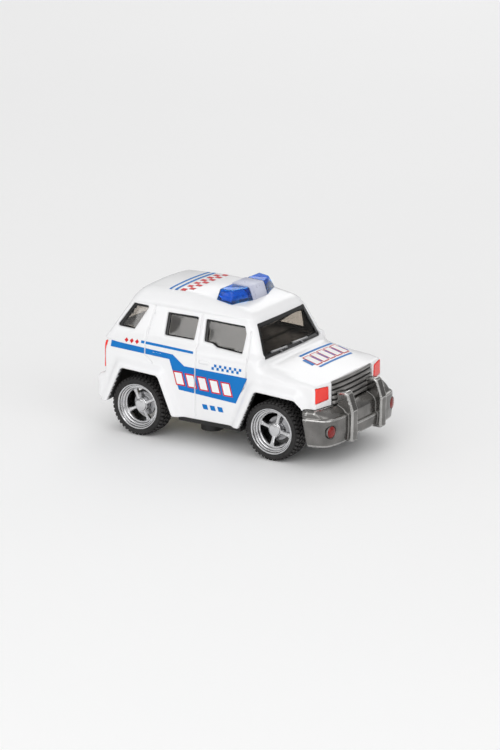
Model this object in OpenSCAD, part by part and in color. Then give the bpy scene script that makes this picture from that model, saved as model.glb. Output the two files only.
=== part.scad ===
// Toy police off-roader: a die-cast shell on a plastic base, with pressed wheels and a pull-back motor.
// +X is the front of the car, +Y its left side and +Z up. The origin is on the ground under its middle.

/* [Overall] */
// Distance between the two axles
wheelbase = 60; // [58:0.5:66]
// Rear axle to the back of the rear bumper
rear_overhang = 18.7; // [18:0.1:21]
// Front axle to the front of the overriders
front_overhang = 28.2; // [27.5:0.1:31]
// Width over the wheel flares
flare_w = 53.4; // [52.6:0.2:57]
// Running gap between fixed pieces that sit in one another
fit = 0.15; // [0.1:0.01:0.25]

/* [Body] */
// Wall of the die-cast shell
wall = 1.6; // [1.2:0.1:1.9]
// Height of the sills above the ground
sill_z = 10.3; // [9.8:0.1:11]
// Height of the belt line, where the cabin starts
belt_z = 37; // [36.4:0.1:38]
// Belt line in from the flares, on each side
belt_in = 3.2; // [2.7:0.1:3.7]
// Doors in from the flares, on each side
waist_in = 1.9; // [1.2:0.1:2.4]
// Sideways lean of the cabin sides, per unit of height
cabin_lean = 0.336; // [0.3:0.01:0.38]
// Rounding of the roof and pillars
cabin_r = 3.2; // [3:0.1:4]
// Height of the roof's edge over the windscreen
roof_front_z = 52.8; // [52:0.1:54]
// Height of the roof's edge at its highest
roof_peak_z = 56.8; // [55.5:0.1:58]
// Height of the roof's edge over the hatch
roof_rear_z = 55; // [53.5:0.1:56]
// Rise of the roof's middle over its edges
roof_crown = 1.2; // [0.5:0.1:1.6]
// Height of the hood at the windscreen
hood_back_z = 36.6; // [36:0.1:37.5]
// Height of the hood at its front lip
hood_front_z = 31.9; // [31:0.1:33]
// Rise of the hood's middle over its edges, at the windscreen
hood_crown = 0.6; // [0.2:0.1:1]
// Fenders beside the headlamps in from the flares, on each side
nose_in = 2.5; // [2:0.1:2.9]
// Front axle to the front of the nose
nose_front = 20.1; // [19.8:0.1:20.6]
// Sweep of the nose's corners towards the back
nose_sweep = 1.8; // [1.2:0.1:2.4]
// Front axle back to the foot of the windscreen
screen_back = 5.4; // [4.6:0.1:6.4]
// Lean of the windscreen, per unit of height
screen_lean = 0.452; // [0.4:0.01:0.5]
// Rear axle back to the foot of the hatch
hatch_back = 14.9; // [14.4:0.1:15.4]
// Lean of the hatch, per unit of height
hatch_lean = 0.458; // [0.4:0.01:0.5]
// Rear axle back to the tail panel
tail_back = 15.4; // [15:0.1:16]
// Thickness of the window moulding
glass_t = 0.9; // [0.7:0.1:1.1]

/* [Wheels] */
// Outer diameter of the tyres
tyre_d = 23; // [22:0.2:24]
// Width of a tyre
tyre_w = 8.6; // [8:0.1:9.2]
// Tyres in from the flares, on each side
tyre_in = 1.1; // [0.5:0.05:1.4]
// Diameter of a rim's outer edge
rim_d = 18; // [17:0.2:18.6]
// Number of spokes
spoke_count = 4; // [3:1:6]
// Width of a spoke
spoke_w = 1.8; // [1.4:0.1:2.2]
// Diameter of the hub
hub_d = 5.2; // [4.8:0.1:5.8]
// Depth of the hub's face behind the tyre's face
hub_depth = 2.5; // [2:0.1:3]
// Diameter of the brake discs behind the spokes
disc_d = 9.4; // [8.6:0.1:10.4]
// Diameter of the axles
axle_d = 2; // [1.6:0.1:2.4]
// Gap between tyre and arch above the tyre
arch_gap = 3.1; // [2.6:0.1:3.8]

/* [Front end] */
// Height of the bumper's underside
bumper_low_z = 8.4; // [8:0.1:9]
// Height of the bumper's front edge
bumper_edge_z = 19.4; // [18.8:0.1:20]
// Height of the bumper where it meets the grille
bumper_top_z = 22.4; // [22:0.1:22.8]
// Bumper face behind the front of the overriders
bumper_back = 1.8; // [1.4:0.1:2.4]
// Step back of the bumper's upper face
bumper_step = 0.9; // [0.5:0.1:1.2]
// Bumper's ends out from the flares, on each side
bumper_out = 0.1; // [0:0.05:0.6]
// Middle of each overrider from the centre line
guard_y = 10.6; // [10:0.1:11.4]
// Width of each overrider
guard_w = 4.2; // [3.6:0.1:4.8]
// Height of the overriders
guard_top_z = 27.4; // [26.8:0.1:28]
// Width of the grille
grille_w = 29.6; // [28:0.2:30.4]
// Number of grille slats
slat_count = 5; // [4:1:6]
// Gap between the grille and a headlamp
headlamp_gap = 1.4; // [1.2:0.1:2.2]
// Height of a headlamp
headlamp_h = 5.9; // [5.2:0.1:6.2]
// Diameter of the fog lamps
fog_d = 5.2; // [4.6:0.1:5.4]
// Height of the tail lamps
tail_lamp_h = 10.6; // [9:0.1:11.4]

/* [Light bar] */
// Width of the light bar
bar_w = 29.4; // [28:0.2:30]
// Depth of the light bar from front to back
bar_depth = 8.6; // [8:0.1:9.4]
// Sweep of the bar's ends towards the back
bar_sweep = 3.4; // [2.8:0.1:4]
// Height of the bar's top above the ground
bar_top_z = 59.8; // [59.4:0.1:61]
// Width of the clear middle piece
bar_mid_w = 8.2; // [7.4:0.1:9]
// Wall of the lenses
lens_t = 1; // [0.8:0.1:1.2]

/* [Base and motor] */
// Height of the base's underside
base_z = 8.3; // [8:0.1:8.4]
// Thickness of the base plate
base_t = 2; // [1.8:0.1:2.1]
// Diameter of the two round bosses under the base
boss_d = 8.7; // [8:0.1:9.4]
// Height of the bosses' faces above the ground
boss_z = 4; // [3:0.1:4.6]
// Middle of each boss from the centre line
boss_y = 13; // [13:0.1:14.5]
// Diameter of the screw hole in each boss
boss_hole_d = 2.5; // [2.2:0.1:3]
// Diameter of the base screws
screw_d = 2; // [1.8:0.1:2.2]
// Tooth size of the motor's gears, as pitch diameter per tooth
gear_m = 0.5; // [0.45:0.01:0.52]
// Teeth on the rear axle
axle_teeth = 12; // [11:1:13]
// Teeth on the idler
idler_teeth = 16; // [15:1:17]
// Teeth on the spring's gear
spring_teeth = 26; // [24:1:27]
// Turns of the mainspring
spring_turns = 4; // [3:1:5]
// Width of the motor's case
motor_w = 17; // [15.6:0.2:17]

/* [Hidden] */
places = ["front_right", "front_left", "rear_right", "rear_left"];

ball_fn = 20;
far = 80;
slice = 0.1;
run_gap = 0.05;

// Places along the car
total_l = rear_overhang + wheelbase + front_overhang;
ra_x = rear_overhang - total_l / 2;
fa_x = ra_x + wheelbase;
front_x = total_l / 2;
rear_x = -total_l / 2;
axle_z = tyre_d / 2;

// Widths, from the flares inwards
belt_w = flare_w - 2 * belt_in;
waist_w = flare_w - 2 * waist_in;
nose_w = flare_w - 2 * nose_in;
track_w = flare_w - 2 * tyre_in;
bumper_w = flare_w + 2 * bumper_out;
wheel_y = track_w / 2;

// Planes of the cabin and the tail, as a function of height
function slant(k) = sqrt(1 + k * k);
function side_y(z) = belt_w / 2 - cabin_lean * (z - belt_z);
function screen_x(z) = fa_x - screen_back - screen_lean * (z - belt_z);
function hatch_x(z) = ra_x - hatch_back + hatch_lean * (z - belt_z);

// Centres of the rounding along the roof's edge, from windscreen to hatch
roof_front_c = roof_front_z - cabin_r;
roof_rear_c = roof_rear_z - cabin_r;
roof_peak_c = roof_peak_z - cabin_r;
roof_bend_back = 22;
roof_bend_share = 0.45;
roof_rise_back = 34;
roof_rise_share = 0.85;
roof_peak_fwd = 14;
roof_flat_end = 1;
roof_flat_drop = 0.3;
roof_rise = roof_peak_z - roof_front_z;
roof_line = [
  [screen_x(roof_front_c) - cabin_r * slant(screen_lean), roof_front_c],
  [fa_x - roof_bend_back, roof_front_c + roof_bend_share * roof_rise],
  [fa_x - roof_rise_back, roof_front_c + roof_rise_share * roof_rise],
  [ra_x + roof_peak_fwd, roof_peak_c],
  [ra_x + roof_flat_end, roof_peak_c - roof_flat_drop],
  [hatch_x(roof_rear_c) + cabin_r * slant(hatch_lean), roof_rear_c]
];
crown_y = 9.5;
foot_z = belt_z - 1.5;

// Lower body
lower_r = 3;
belt_shelf = 0.8;
nose_r = 2.1;
waist_z = 29;
under_z = sill_z - 6;
cowl_x = fa_x - 7;
shoulder_w = belt_w + 1.2;
hood_edge = 3.2;
hood_edge_back = 0.4;
hood_flat_y = 13;
fender_drop = 0.9;
grille_lip_drop = 0.3;
sill_in = 0.2;
tail_x = ra_x - tail_back;
nose_x = fa_x + nose_front;
nose_corner_x = nose_x - nose_sweep - nose_r;

// Wheel arches, relative to their axle
arch_top_z = tyre_d + arch_gap;
arch_back = 14.2;
arch_fwd = 16;
arch_top_back = 7;
arch_top_fwd = 9.6;
arch_drop = 0.8;
arch_spread = 3;
arch_r = 2;
flare_lip = 2.2;
flare_root = 4.2;
flare_in_y = waist_w / 2 - 1.4;

// Rear bumper
rear_bumper_r = 1.8;
rear_bumper_low_z = 12.2;
rear_bumper_top_z = 22.2;
rear_bumper_w = flare_w - 2.4;
rear_bumper_corner_w = 3.5;
rear_bumper_corner_l = 1.4;

// Screw posts of the shell
post_d = 5.4;
front_post_x = fa_x + 10.5;
rear_post_x = ra_x - 10.6;
post_web_t = 1.6;
post_top_z = hood_front_z + 0.2;
rear_post_top_z = 30;
post_fit = 0.08;

// Windows: outlines from the side, from the axles and the pillars
window_top_z = 49;
window_low_z = 40.7;
quarter_back = 10.3;
quarter_l = 7;
quarter_rake = 5.2;
rear_window_fwd = 10.3;
rear_window_l = 13.9;
pillar_w = 3.3;
front_window_back = 14.1;
window_dip_l = 12;
window_dip = 2;
quarter_x = ra_x - quarter_back;
rear_window_x = ra_x + rear_window_fwd;
front_window_x = rear_window_x + rear_window_l + pillar_w;
front_window_end = fa_x - front_window_back;
quarter_window = [
  [quarter_x + quarter_rake, window_top_z + 1.2],
  [quarter_x + quarter_rake + quarter_l, window_top_z + 1.1],
  [quarter_x + quarter_l, window_low_z + 0.8],
  [quarter_x, window_low_z + 0.9]
];
rear_door_window = [
  [rear_window_x, window_top_z],
  [rear_window_x + rear_window_l, window_top_z + 0.1],
  [rear_window_x + rear_window_l - 0.5, window_low_z],
  [rear_window_x, window_low_z]
];
front_door_window = [
  [front_window_x, window_top_z],
  [front_window_end - 1.1, window_top_z - 0.4],
  [front_window_end, window_top_z - 2.9],
  [front_window_end - 0.3, window_low_z - window_dip],
  [front_window_end - window_dip_l, window_low_z - window_dip + 0.7],
  [front_window_end - window_dip_l - window_dip, window_low_z - 0.2],
  [front_window_x + 0.5, window_low_z + 0.1]
];
window_r = 0.8;

// Shut lines of the doors from the side, and the door handles
groove_w = 0.5;
groove_d = 0.4;
rear_line_x = rear_window_x - 5.3;
mid_line_x = front_window_x - pillar_w / 2;
front_line_x = front_window_end + 2.3;
door_lines = [
  [
    [rear_line_x + 1.6, window_top_z + 1.5], [rear_line_x, window_low_z], [rear_line_x, belt_z - 4.5],
    [rear_line_x + 3, belt_z - 7.4]
  ],
  [[mid_line_x, window_top_z + 1.2], [mid_line_x, sill_z + 1.7]],
  [
    [front_line_x - 0.4, window_top_z - 2], [front_line_x + 0.4, belt_z + 0.5], [front_line_x, belt_z - 9.5],
    [front_line_x - 2.7, belt_z - 13]
  ]
];
handle_l = 4.4;
handle_h = 1.3;
handle_z = belt_z - 4.2;
handle_out = 0.3;
handle_root = 1.2;
handle_xs = [rear_line_x + 1.4, mid_line_x + 1.8];

// Windscreen and hatch glass from the front
screen_pillar_w = 2.85;
screen_low_z = belt_z - 0.1;
screen_top_z = window_top_z + 0.3;
screen_low_w = 2 * (side_y(screen_low_z) - screen_pillar_w);
screen_top_w = 2 * (side_y(screen_top_z) - screen_pillar_w);
hatch_pillar_w = 3.95;
rear_glass_low_z = window_low_z + 1;
rear_glass_low_w = 2 * (side_y(rear_glass_low_z) - hatch_pillar_w);
rear_glass_top_w = 2 * (side_y(window_top_z) - hatch_pillar_w);

// Glazing and interior
glass_foot_z = belt_z - 1.5;
floor_t = 1.2;
tub_wall = 1;
tub_rim_z = glass_foot_z - fit;
tub_rim_t = 1;
tub_w = belt_w - 6;
tub_back_x = rear_post_x + post_d / 2 + 0.5;
tub_front_x = fa_x - 8.4;
tub_rim_w = 2 * (side_y(glass_foot_z) - (wall + fit) * slant(cabin_lean) - 3 * fit);
seat_w = 11;
seat_l = 10;
seat_h = 5;
seat_back_h = 12;
seat_back_t = 2.6;
seat_gap = 3.4;
dash_l = 6;
dash_h = 9;

// Front end
guard_front_x = front_x;
bumper_x = front_x - bumper_back;
bumper_bend_y = flare_w / 2 - 2.4;
bumper_bend_x = bumper_x - 1.9;
bumper_corner_x = bumper_x - 4;
bumper_corner_y = flare_w / 2 - 1.1;
bumper_end_x = fa_x + 10;
bumper_bevel = 4.4;
bumper_step_z = 16;
bumper_end_drop = 0.6;
guard_knee_z = 20.4;
guard_low_z = bumper_low_z + 1.1;
guard_top_l = 3.2;
guard_lean = 2.7;
guard_r = 0.6;
grille_face_x = nose_x + 1.2;
grille_low_z = bumper_top_z + fit;
grille_top_z = hood_front_z - 1.1;
grille_d = 3.4;
grille_slope = 1.1;
slat_pitch = (grille_top_z - grille_low_z) / slat_count;
slat_gap = 0.5;
headlamp_z = 27.6;
headlamp_d = 1.5;
headlamp_wrap = 50;
lamp_c = [nose_corner_x, nose_w / 2 - nose_r];
headlamp_turn = atan(nose_sweep / (nose_w / 2 - grille_w / 2));
headlamp_w = (lamp_c[1] - grille_w / 2 - headlamp_gap) / cos(headlamp_turn);
lamp_proud = 0.35;
fog_y = bumper_bend_y - 2.5;
fog_z = 14.3;
fog_proud = 0.7;
fog_turn = atan((bumper_x - bumper_bend_x) / (bumper_bend_y - guard_y));
fog_x = bumper_x - (fog_y - guard_y) * tan(fog_turn) + fog_proud;
fog_depth = 2.6;
tail_lamp_z = 30;
tail_lamp_y = waist_w / 2 - 3.2;
tail_lamp_w = 3.6;
tail_lamp_d = 0.9;

// Light bar
bar_set_back = 20;
bar_front_x = fa_x - bar_set_back;
bar_foot_z = roof_front_z - 1;
bar_slope_front = 1.3;
bar_slope_back = 2.2;
bar_slope_end = 1;
bar_mid_rise = 0.5;
bar_mid_lip = 0.3;
bar_fit = 0.1;
peg_d = 2.4;
peg_y = 8.5;
peg_x = bar_front_x - 6;
peg_low_z = roof_front_z - 1.6;
peg_top_z = bar_top_z - 3;
plate_top_z = roof_peak_z + 0.8;
plate_in = lens_t + fit;
bar_split_y = bar_mid_w / 2 + bar_fit;

// Wheels: axle and side at each place
wheel_spots = [[fa_x, -1], [fa_x, 1], [ra_x, -1], [ra_x, 1]];
axle_r = axle_d / 2;
rim_r = rim_d / 2;
tyre_r = tyre_d / 2;
seat_r = rim_r - 0.8;
rim_face = 0.3;
rim_depth = tyre_w - 0.5;
barrel_r = rim_r - 2.5;
hub_r = hub_d / 2;
hub_fit = 0.02;
spoke_t = 1.3;
spoke_z = -hub_depth - 0.4;
disc_depth = hub_depth + 3;
disc_t = 0.8;
axle_end = hub_depth + 0.9;
axle_l = track_w - 2 * axle_end;

// Motor: the rear axle's gear, an idler and the spring's gear, in one plane
gear_back_y = 1.6;
gear_w = 2.8;
gear_slack = 0.1;
mesh_1 = gear_m * (axle_teeth + idler_teeth) / 2 + gear_slack;
mesh_2 = gear_m * (idler_teeth + spring_teeth) / 2 + gear_slack;
idler_angle = 35;
idler_x = ra_x + mesh_1 * cos(idler_angle);
idler_z = axle_z + mesh_1 * sin(idler_angle);
spring_z = axle_z + 3.7;
mesh_2_angle = asin((spring_z - idler_z) / mesh_2);
spring_x = idler_x + mesh_2 * cos(mesh_2_angle);
axle_phase = idler_angle;
idler_phase = idler_angle + 180 + 180 / idler_teeth;
idler_turn = (idler_phase - mesh_2_angle) * idler_teeth / spring_teeth;
spring_phase = mesh_2_angle + 180 - idler_turn + 180 / spring_teeth;
case_wall = 1.2;
case_gap = 0.5;
spring_tip_r = gear_m * (spring_teeth / 2 + 0.8);
case_back_x = ra_x - gear_m * (axle_teeth / 2 + 0.8) - case_gap - case_wall;
case_front_x = spring_x + spring_tip_r + case_gap + case_wall;
case_low_z = spring_z - spring_tip_r - case_gap - case_wall;
case_top_z = spring_z + spring_tip_r + case_gap + case_wall;
ear_l = 3;
ear_t = 1.2;
sleeve_r = axle_r + 0.8;
arbor_r = 1.6;
journal_r = 1;
pin_r = 0.75;
pin_reach = 0.6;
spring_in_r = arbor_r + 0.35;
spring_out_r = spring_tip_r - 0.3;
strip_t = 0.35;
spiral_step = 15;
spiral_steps = spring_turns * 360 / spiral_step;
strip_y = [-motor_w / 2 + case_wall + 0.4, gear_back_y - 0.6];

// Floor of the interior, over the tyres and the motor
floor_gap = 0.5;
floor_z = max(tyre_d, case_top_z) + floor_gap;

// Base
base_top_z = base_z + base_t;
base_narrow_w = 2 * (wheel_y - tyre_w - 0.6);
base_wide_w = waist_w - 2 * (wall + 0.5);
base_back_x = tail_x + wall + 0.5;
base_front_x = nose_x - nose_sweep - wall - 0.8;
base_mid_back_x = ra_x + arch_fwd + 1;
base_mid_front_x = fa_x - arch_back - 1;
base_post_d = 4;
base_post_y = 15;
base_post_x = [ra_x + 20, fa_x - 16.5];
boss_x = case_front_x + 1.1;
boss_hole_l = base_top_z - boss_z - 1;
lug_t = 3;
lug_w = 5;
lug_top_z = axle_z + axle_r + 1.6;
lug_y = base_narrow_w / 2 - lug_t - 0.1;
screw_head_d = 2 * screw_d;
screw_head_t = 1;
screw_l = 9;
screw_slot_l = 0.6 * screw_head_d;
screw_slot_w = 0.4;
sleeve_y = base_narrow_w / 2;

// Helpers
module both_sides() {
  children();
  mirror([0, 1, 0]) children();
}

module ball(place, r) {
  translate(place) sphere(r = r, $fn = ball_fn);
}

module block(low, high) {
  translate(low) cube(high - low);
}

// A prism that runs along Y, from an outline drawn in X and Z
module side_prism(y_low, y_high) {
  translate([0, y_high, 0]) rotate([90, 0, 0]) linear_extrude(y_high - y_low) children();
}

// A prism that runs along X, from an outline drawn in Y and Z
module front_prism(x_low, x_high) {
  translate([x_low, 0, 0]) rotate([90, 0, 90]) linear_extrude(x_high - x_low) children();
}

module rounded(points, r) {
  offset(r = r, $fn = 24) offset(delta = -r) polygon(points);
}

// A cylinder along Y, centred on its length
module bar_y(x, y_low, y_high, z, r) {
  translate([x, y_high, z]) rotate([90, 0, 0]) cylinder(r = r, h = y_high - y_low, $fn = 48);
}

// Solid of the cabin, drawn in by a depth below its surface
module cabin(depth) {
  r = cabin_r - depth;
  reach_y = cabin_r * slant(cabin_lean);
  hull() both_sides() {
    for (p = roof_line) ball([p[0], side_y(p[1]) - reach_y, p[1]], r);
    for (p = roof_line) ball([p[0], crown_y, p[1] + roof_crown], r);
    ball([screen_x(foot_z) - cabin_r * slant(screen_lean), side_y(foot_z) - reach_y, foot_z], r);
    ball([hatch_x(foot_z) + cabin_r * slant(hatch_lean), side_y(foot_z) - reach_y, foot_z], r);
  }
}

// Solid of the doors and tail, below the belt line
module lower_body(depth) {
  r = lower_r - depth;
  hull() both_sides() for (x = [tail_x + lower_r, cowl_x - lower_r]) {
    ball([x, shoulder_w / 2 - lower_r, (x < ra_x ? belt_z + belt_shelf : hood_back_z) - lower_r], r);
    ball([x, waist_w / 2 - lower_r, waist_z], r);
    ball([x, waist_w / 2 - lower_r - sill_in, under_z], r);
  }
}

// Solid of the hood, fenders and nose
module nose(depth) {
  r = nose_r - depth;
  hull() both_sides() {
    ball([cowl_x - lower_r, hood_flat_y, hood_back_z + hood_crown - nose_r], r);
    ball([cowl_x - lower_r, shoulder_w / 2 - nose_r, hood_back_z - nose_r], r);
    ball([cowl_x - lower_r, waist_w / 2 - nose_r, waist_z], r);
    ball([cowl_x - lower_r, waist_w / 2 - nose_r, under_z], r);
    ball([nose_corner_x - hood_edge_back, nose_w / 2 - hood_edge - nose_r, hood_front_z - nose_r], r);
    ball([nose_corner_x, nose_w / 2 - nose_r, hood_front_z - nose_r - fender_drop], r);
    ball([nose_corner_x, nose_w / 2 - nose_r, under_z], r);
    ball([nose_x - nose_r, grille_w / 2 - nose_r, hood_front_z - nose_r - grille_lip_drop], r);
    ball([nose_x - nose_r, grille_w / 2 - nose_r, under_z], r);
  }
}

module arch_outline(axle_x) {
  rounded([
    [axle_x - arch_back - arch_spread, sill_z - 2 * arch_spread],
    [axle_x - arch_back, sill_z],
    [axle_x - arch_top_back, arch_top_z],
    [axle_x + arch_top_fwd, arch_top_z - arch_drop],
    [axle_x + arch_fwd, sill_z],
    [axle_x + arch_fwd + arch_spread, sill_z - 2 * arch_spread]
  ], arch_r);
}

// Raised band round a wheel arch, one side of the car
module flare(axle_x) {
  hull() {
    side_prism(flare_in_y, flare_in_y + slice) offset(r = flare_root, $fn = 24) arch_outline(axle_x);
    side_prism(flare_w / 2 - slice, flare_w / 2) offset(r = flare_lip, $fn = 24) arch_outline(axle_x);
  }
}

module rear_bumper() {
  end_y = rear_bumper_w / 2 - rear_bumper_r;
  hull() both_sides() for (z = [rear_bumper_low_z, rear_bumper_top_z - 2 * rear_bumper_r]) {
    ball([rear_x + rear_bumper_r, end_y - rear_bumper_corner_w, z + rear_bumper_r], rear_bumper_r);
    ball([rear_x + rear_bumper_r + rear_bumper_corner_l, end_y, z + rear_bumper_r], rear_bumper_r);
    ball([tail_x + lower_r, end_y, z + rear_bumper_r], rear_bumper_r);
  }
}

module door_handle(x) {
  root_y = waist_w / 2 - handle_root;
  out_y = waist_w / 2 + handle_out;
  hull() {
    block([x, root_y, handle_z], [x + handle_l, out_y - handle_out, handle_z + handle_h]);
    block([x + handle_out, root_y, handle_z + handle_out],
      [x + handle_l - handle_out, out_y, handle_z + handle_h - handle_out]);
  }
}

// What the shut lines take from the shell's outer surface
module shut_grooves() {
  difference() {
    side_prism(-far, far) for (line = door_lines, i = [0 : len(line) - 2]) hull() {
      translate(line[i]) circle(d = groove_w, $fn = 12);
      translate(line[i + 1]) circle(d = groove_w, $fn = 12);
    }
    cabin(groove_d);
    lower_body(groove_d);
    nose(groove_d);
  }
}

module below(z) {
  block([-far, -far, -far], [far, far, z]);
}

module screw_post(x, top_z) {
  translate([x, 0, base_top_z]) cylinder(d = post_d, h = top_z - base_top_z, $fn = 32);
}

// Outer form of the shell, solid, before it is hollowed
module body_form() {
  cabin(0);
  lower_body(0);
  nose(0);
  both_sides() {
    difference() {
      flare(ra_x);
      block([-far, -far, 0], [tail_x + lower_r, far, rear_bumper_low_z + rear_bumper_r]);
    }
    difference() {
      flare(fa_x);
      block([fa_x, -far, 0], [far, far, bumper_top_z - bumper_end_drop + fit]);
    }
    for (x = handle_xs) door_handle(x);
  }
  rear_bumper();
}

module screen_outline() {
  rounded([
    [-screen_low_w / 2, screen_low_z], [screen_low_w / 2, screen_low_z],
    [screen_top_w / 2, screen_top_z], [-screen_top_w / 2, screen_top_z]
  ], window_r);
}

module rear_glass_outline() {
  rounded([
    [-rear_glass_low_w / 2, rear_glass_low_z], [rear_glass_low_w / 2, rear_glass_low_z],
    [rear_glass_top_w / 2, window_top_z], [-rear_glass_top_w / 2, window_top_z]
  ], window_r);
}

module window_openings() {
  side_prism(-far, far) {
    rounded(quarter_window, window_r);
    rounded(rear_door_window, window_r);
    rounded(front_door_window, window_r);
  }
  front_prism(screen_x(screen_top_z) - 6, fa_x) screen_outline();
  front_prism(tail_x - 5, hatch_x(window_top_z) + 6) rear_glass_outline();
}

function lamp_arc(r, from, to) =
  [for (i = [0:6]) let (a = from + (to - from) * i / 6) lamp_c + r * [cos(a), sin(a)]];

// Right headlamp, a plate bent round the nose's corner, and its pocket where it is grown
module headlamp_form(grow, reach) {
  face = [cos(headlamp_turn), sin(headlamp_turn)];
  inner_end = lamp_c + (headlamp_w + grow) * [face[1], -face[0]];
  outer_end = headlamp_turn + headlamp_wrap + grow / nose_r * 180 / PI;
  out_r = nose_r + reach;
  in_r = nose_r - headlamp_d - grow;
  mirror([0, 1, 0]) translate([0, 0, headlamp_z - headlamp_h / 2 - grow])
    linear_extrude(headlamp_h + 2 * grow) polygon(concat(
      [inner_end + in_r * face, inner_end + out_r * face],
      lamp_arc(out_r, headlamp_turn, outer_end),
      lamp_arc(in_r, outer_end, headlamp_turn)
    ));
}

// Pocket of the right tail lamp, open to the back
module tail_lamp_pocket(grow) {
  half_w = tail_lamp_w / 2 + grow;
  half_h = tail_lamp_h / 2 + grow;
  block([tail_x - tail_lamp_d, -tail_lamp_y - half_w, tail_lamp_z - half_h],
    [tail_x + tail_lamp_d + grow, -tail_lamp_y + half_w, tail_lamp_z + half_h]);
}

module tail_lamp() {
  intersection() {
    tail_lamp_pocket(0);
    lower_body(-lamp_proud);
  }
}

module peg(grow) {
  translate([peg_x, peg_y, peg_low_z]) cylinder(d = peg_d + 2 * grow, h = peg_top_z - peg_low_z, $fn = 32);
}

module grille_opening() {
  block([nose_x - grille_d, -grille_w / 2, grille_low_z], [far, grille_w / 2, grille_top_z + fit]);
}

// Pieces
module body_shell() color("white") {
  difference() {
    union() {
      difference() {
        body_form();
        cabin(wall);
        lower_body(wall);
        nose(wall);
        below(sill_z);
        block([-far, -far, 0], [ra_x - arch_top_back, far, rear_bumper_low_z - 0.4]);
      }
      screw_post(front_post_x, post_top_z);
      screw_post(rear_post_x, rear_post_top_z);
      block([tail_x + wall - slice, -post_web_t / 2, base_top_z],
        [rear_post_x, post_web_t / 2, rear_post_top_z]);
    }
    both_sides() for (x = [ra_x, fa_x]) side_prism(wheel_y - tyre_w - 1, far) arch_outline(x);
    shut_grooves();
    window_openings();
    grille_opening();
    both_sides() {
      headlamp_form(fit, 2 * nose_r);
      tail_lamp_pocket(fit);
      peg(fit);
    }
    for (x = [front_post_x, rear_post_x])
      translate([x, 0, base_top_z - slice]) cylinder(d = screw_d + 2 * post_fit, h = screw_l, $fn = 32);
  }
}

module glazing() color("dimgray") {
  difference() {
    cabin(wall + fit);
    cabin(wall + fit + glass_t);
    below(glass_foot_z);
  }
}

module seat(x, y, w) {
  block([x, y - w / 2, floor_z], [x + seat_l, y + w / 2, floor_z + floor_t + seat_h]);
  block([x - seat_back_t, y - w / 2, floor_z], [x, y + w / 2, floor_z + floor_t + seat_back_h]);
}

module interior_tub() color("darkslategray") {
  difference() {
    union() {
      block([tub_back_x, -tub_w / 2, floor_z], [tub_front_x, tub_w / 2, tub_rim_z]);
      block([tub_back_x, -tub_rim_w / 2, tub_rim_z - tub_rim_t], [tub_front_x, tub_rim_w / 2, tub_rim_z]);
    }
    block([tub_back_x + tub_wall, -tub_w / 2 + tub_wall, floor_z + floor_t],
      [tub_front_x - dash_l, tub_w / 2 - tub_wall, far]);
  }
  for (y = [-1, 1]) seat(tub_front_x - dash_l - seat_l - 4, y * (seat_w + seat_gap) / 2, seat_w);
  seat(tub_front_x - dash_l - 2 * seat_l - 14, 0, 2 * seat_w + seat_gap);
  block([tub_front_x - dash_l, -tub_w / 2 + 2, tub_rim_z - slice],
    [tub_front_x - 2, tub_w / 2 - 2, floor_z + dash_h + 3]);
}

module base_plate() {
  block([base_back_x, -base_narrow_w / 2, base_z], [base_front_x, base_narrow_w / 2, base_top_z]);
  block([base_mid_back_x, -base_wide_w / 2, base_z], [base_mid_front_x, base_wide_w / 2, base_top_z]);
}

module chassis_base() color("#202020") {
  difference() {
    union() {
      base_plate();
      both_sides() {
        translate([boss_x, boss_y, boss_z]) cylinder(d = boss_d, h = base_top_z - boss_z);
        block([fa_x - lug_w / 2, lug_y, base_z], [fa_x + lug_w / 2, lug_y + lug_t, lug_top_z]);
        for (x = base_post_x)
          translate([x, base_post_y, base_z]) cylinder(d = base_post_d, h = floor_z - base_z);
      }
    }
    block([case_back_x - fit, -motor_w / 2 - fit, 0],
      [case_front_x + fit, motor_w / 2 + fit, base_top_z + slice]);
    block([ra_x - sleeve_r - fit, -far, axle_z - sleeve_r - fit],
      [ra_x + sleeve_r + fit, far, base_top_z + slice]);
    both_sides() {
      translate([boss_x, boss_y, boss_z - slice]) cylinder(d = boss_hole_d, h = boss_hole_l + slice);
      bar_y(fa_x, 0, far, axle_z, axle_r + run_gap);
    }
    for (x = [front_post_x, rear_post_x]) {
      translate([x, 0, 0]) cylinder(d = screw_d + 2 * fit, h = base_top_z + slice);
      translate([x, 0, 0]) cylinder(d = screw_head_d + 2 * fit, h = base_z + screw_head_t);
    }
  }
}

module base_screws() color("silver") {
  for (x = [front_post_x, rear_post_x]) difference() {
    union() {
      translate([x, 0, base_z]) cylinder(d = screw_head_d, h = screw_head_t);
      translate([x, 0, base_z]) cylinder(d = screw_d, h = screw_l);
    }
    for (a = [0, 90])
      translate([x, 0, base_z]) rotate(a) cube([screw_slot_l, screw_slot_w, screw_head_t], center = true);
  }
}

// Front bumper, as it is seen from above
module bumper_plan(back) {
  left = [
    [bumper_end_x, bumper_w / 2],
    [bumper_corner_x - back, bumper_corner_y - back / 2],
    [bumper_bend_x - back, bumper_bend_y - back / 2],
    [bumper_x - back, guard_y]
  ];
  right = [for (i = [len(left) - 1:-1:0]) [left[i][0], -left[i][1]]];
  polygon(concat(left, right));
}

module guard() {
  side_prism(guard_y - guard_w / 2, guard_y + guard_w / 2) rounded([
    [nose_x - 1, guard_low_z], [guard_front_x - 0.2, guard_low_z], [guard_front_x, guard_knee_z],
    [guard_front_x - guard_lean, guard_top_z - 0.5], [guard_front_x - guard_lean - 0.8, guard_top_z],
    [guard_front_x - guard_lean - guard_top_l, guard_top_z], [nose_x - 1, guard_top_z - 3]
  ], guard_r);
}

module fog_place() {
  translate([fog_x, -fog_y, fog_z]) rotate([0, 0, -fog_turn]) rotate([0, 90, 0]) children();
}

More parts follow.
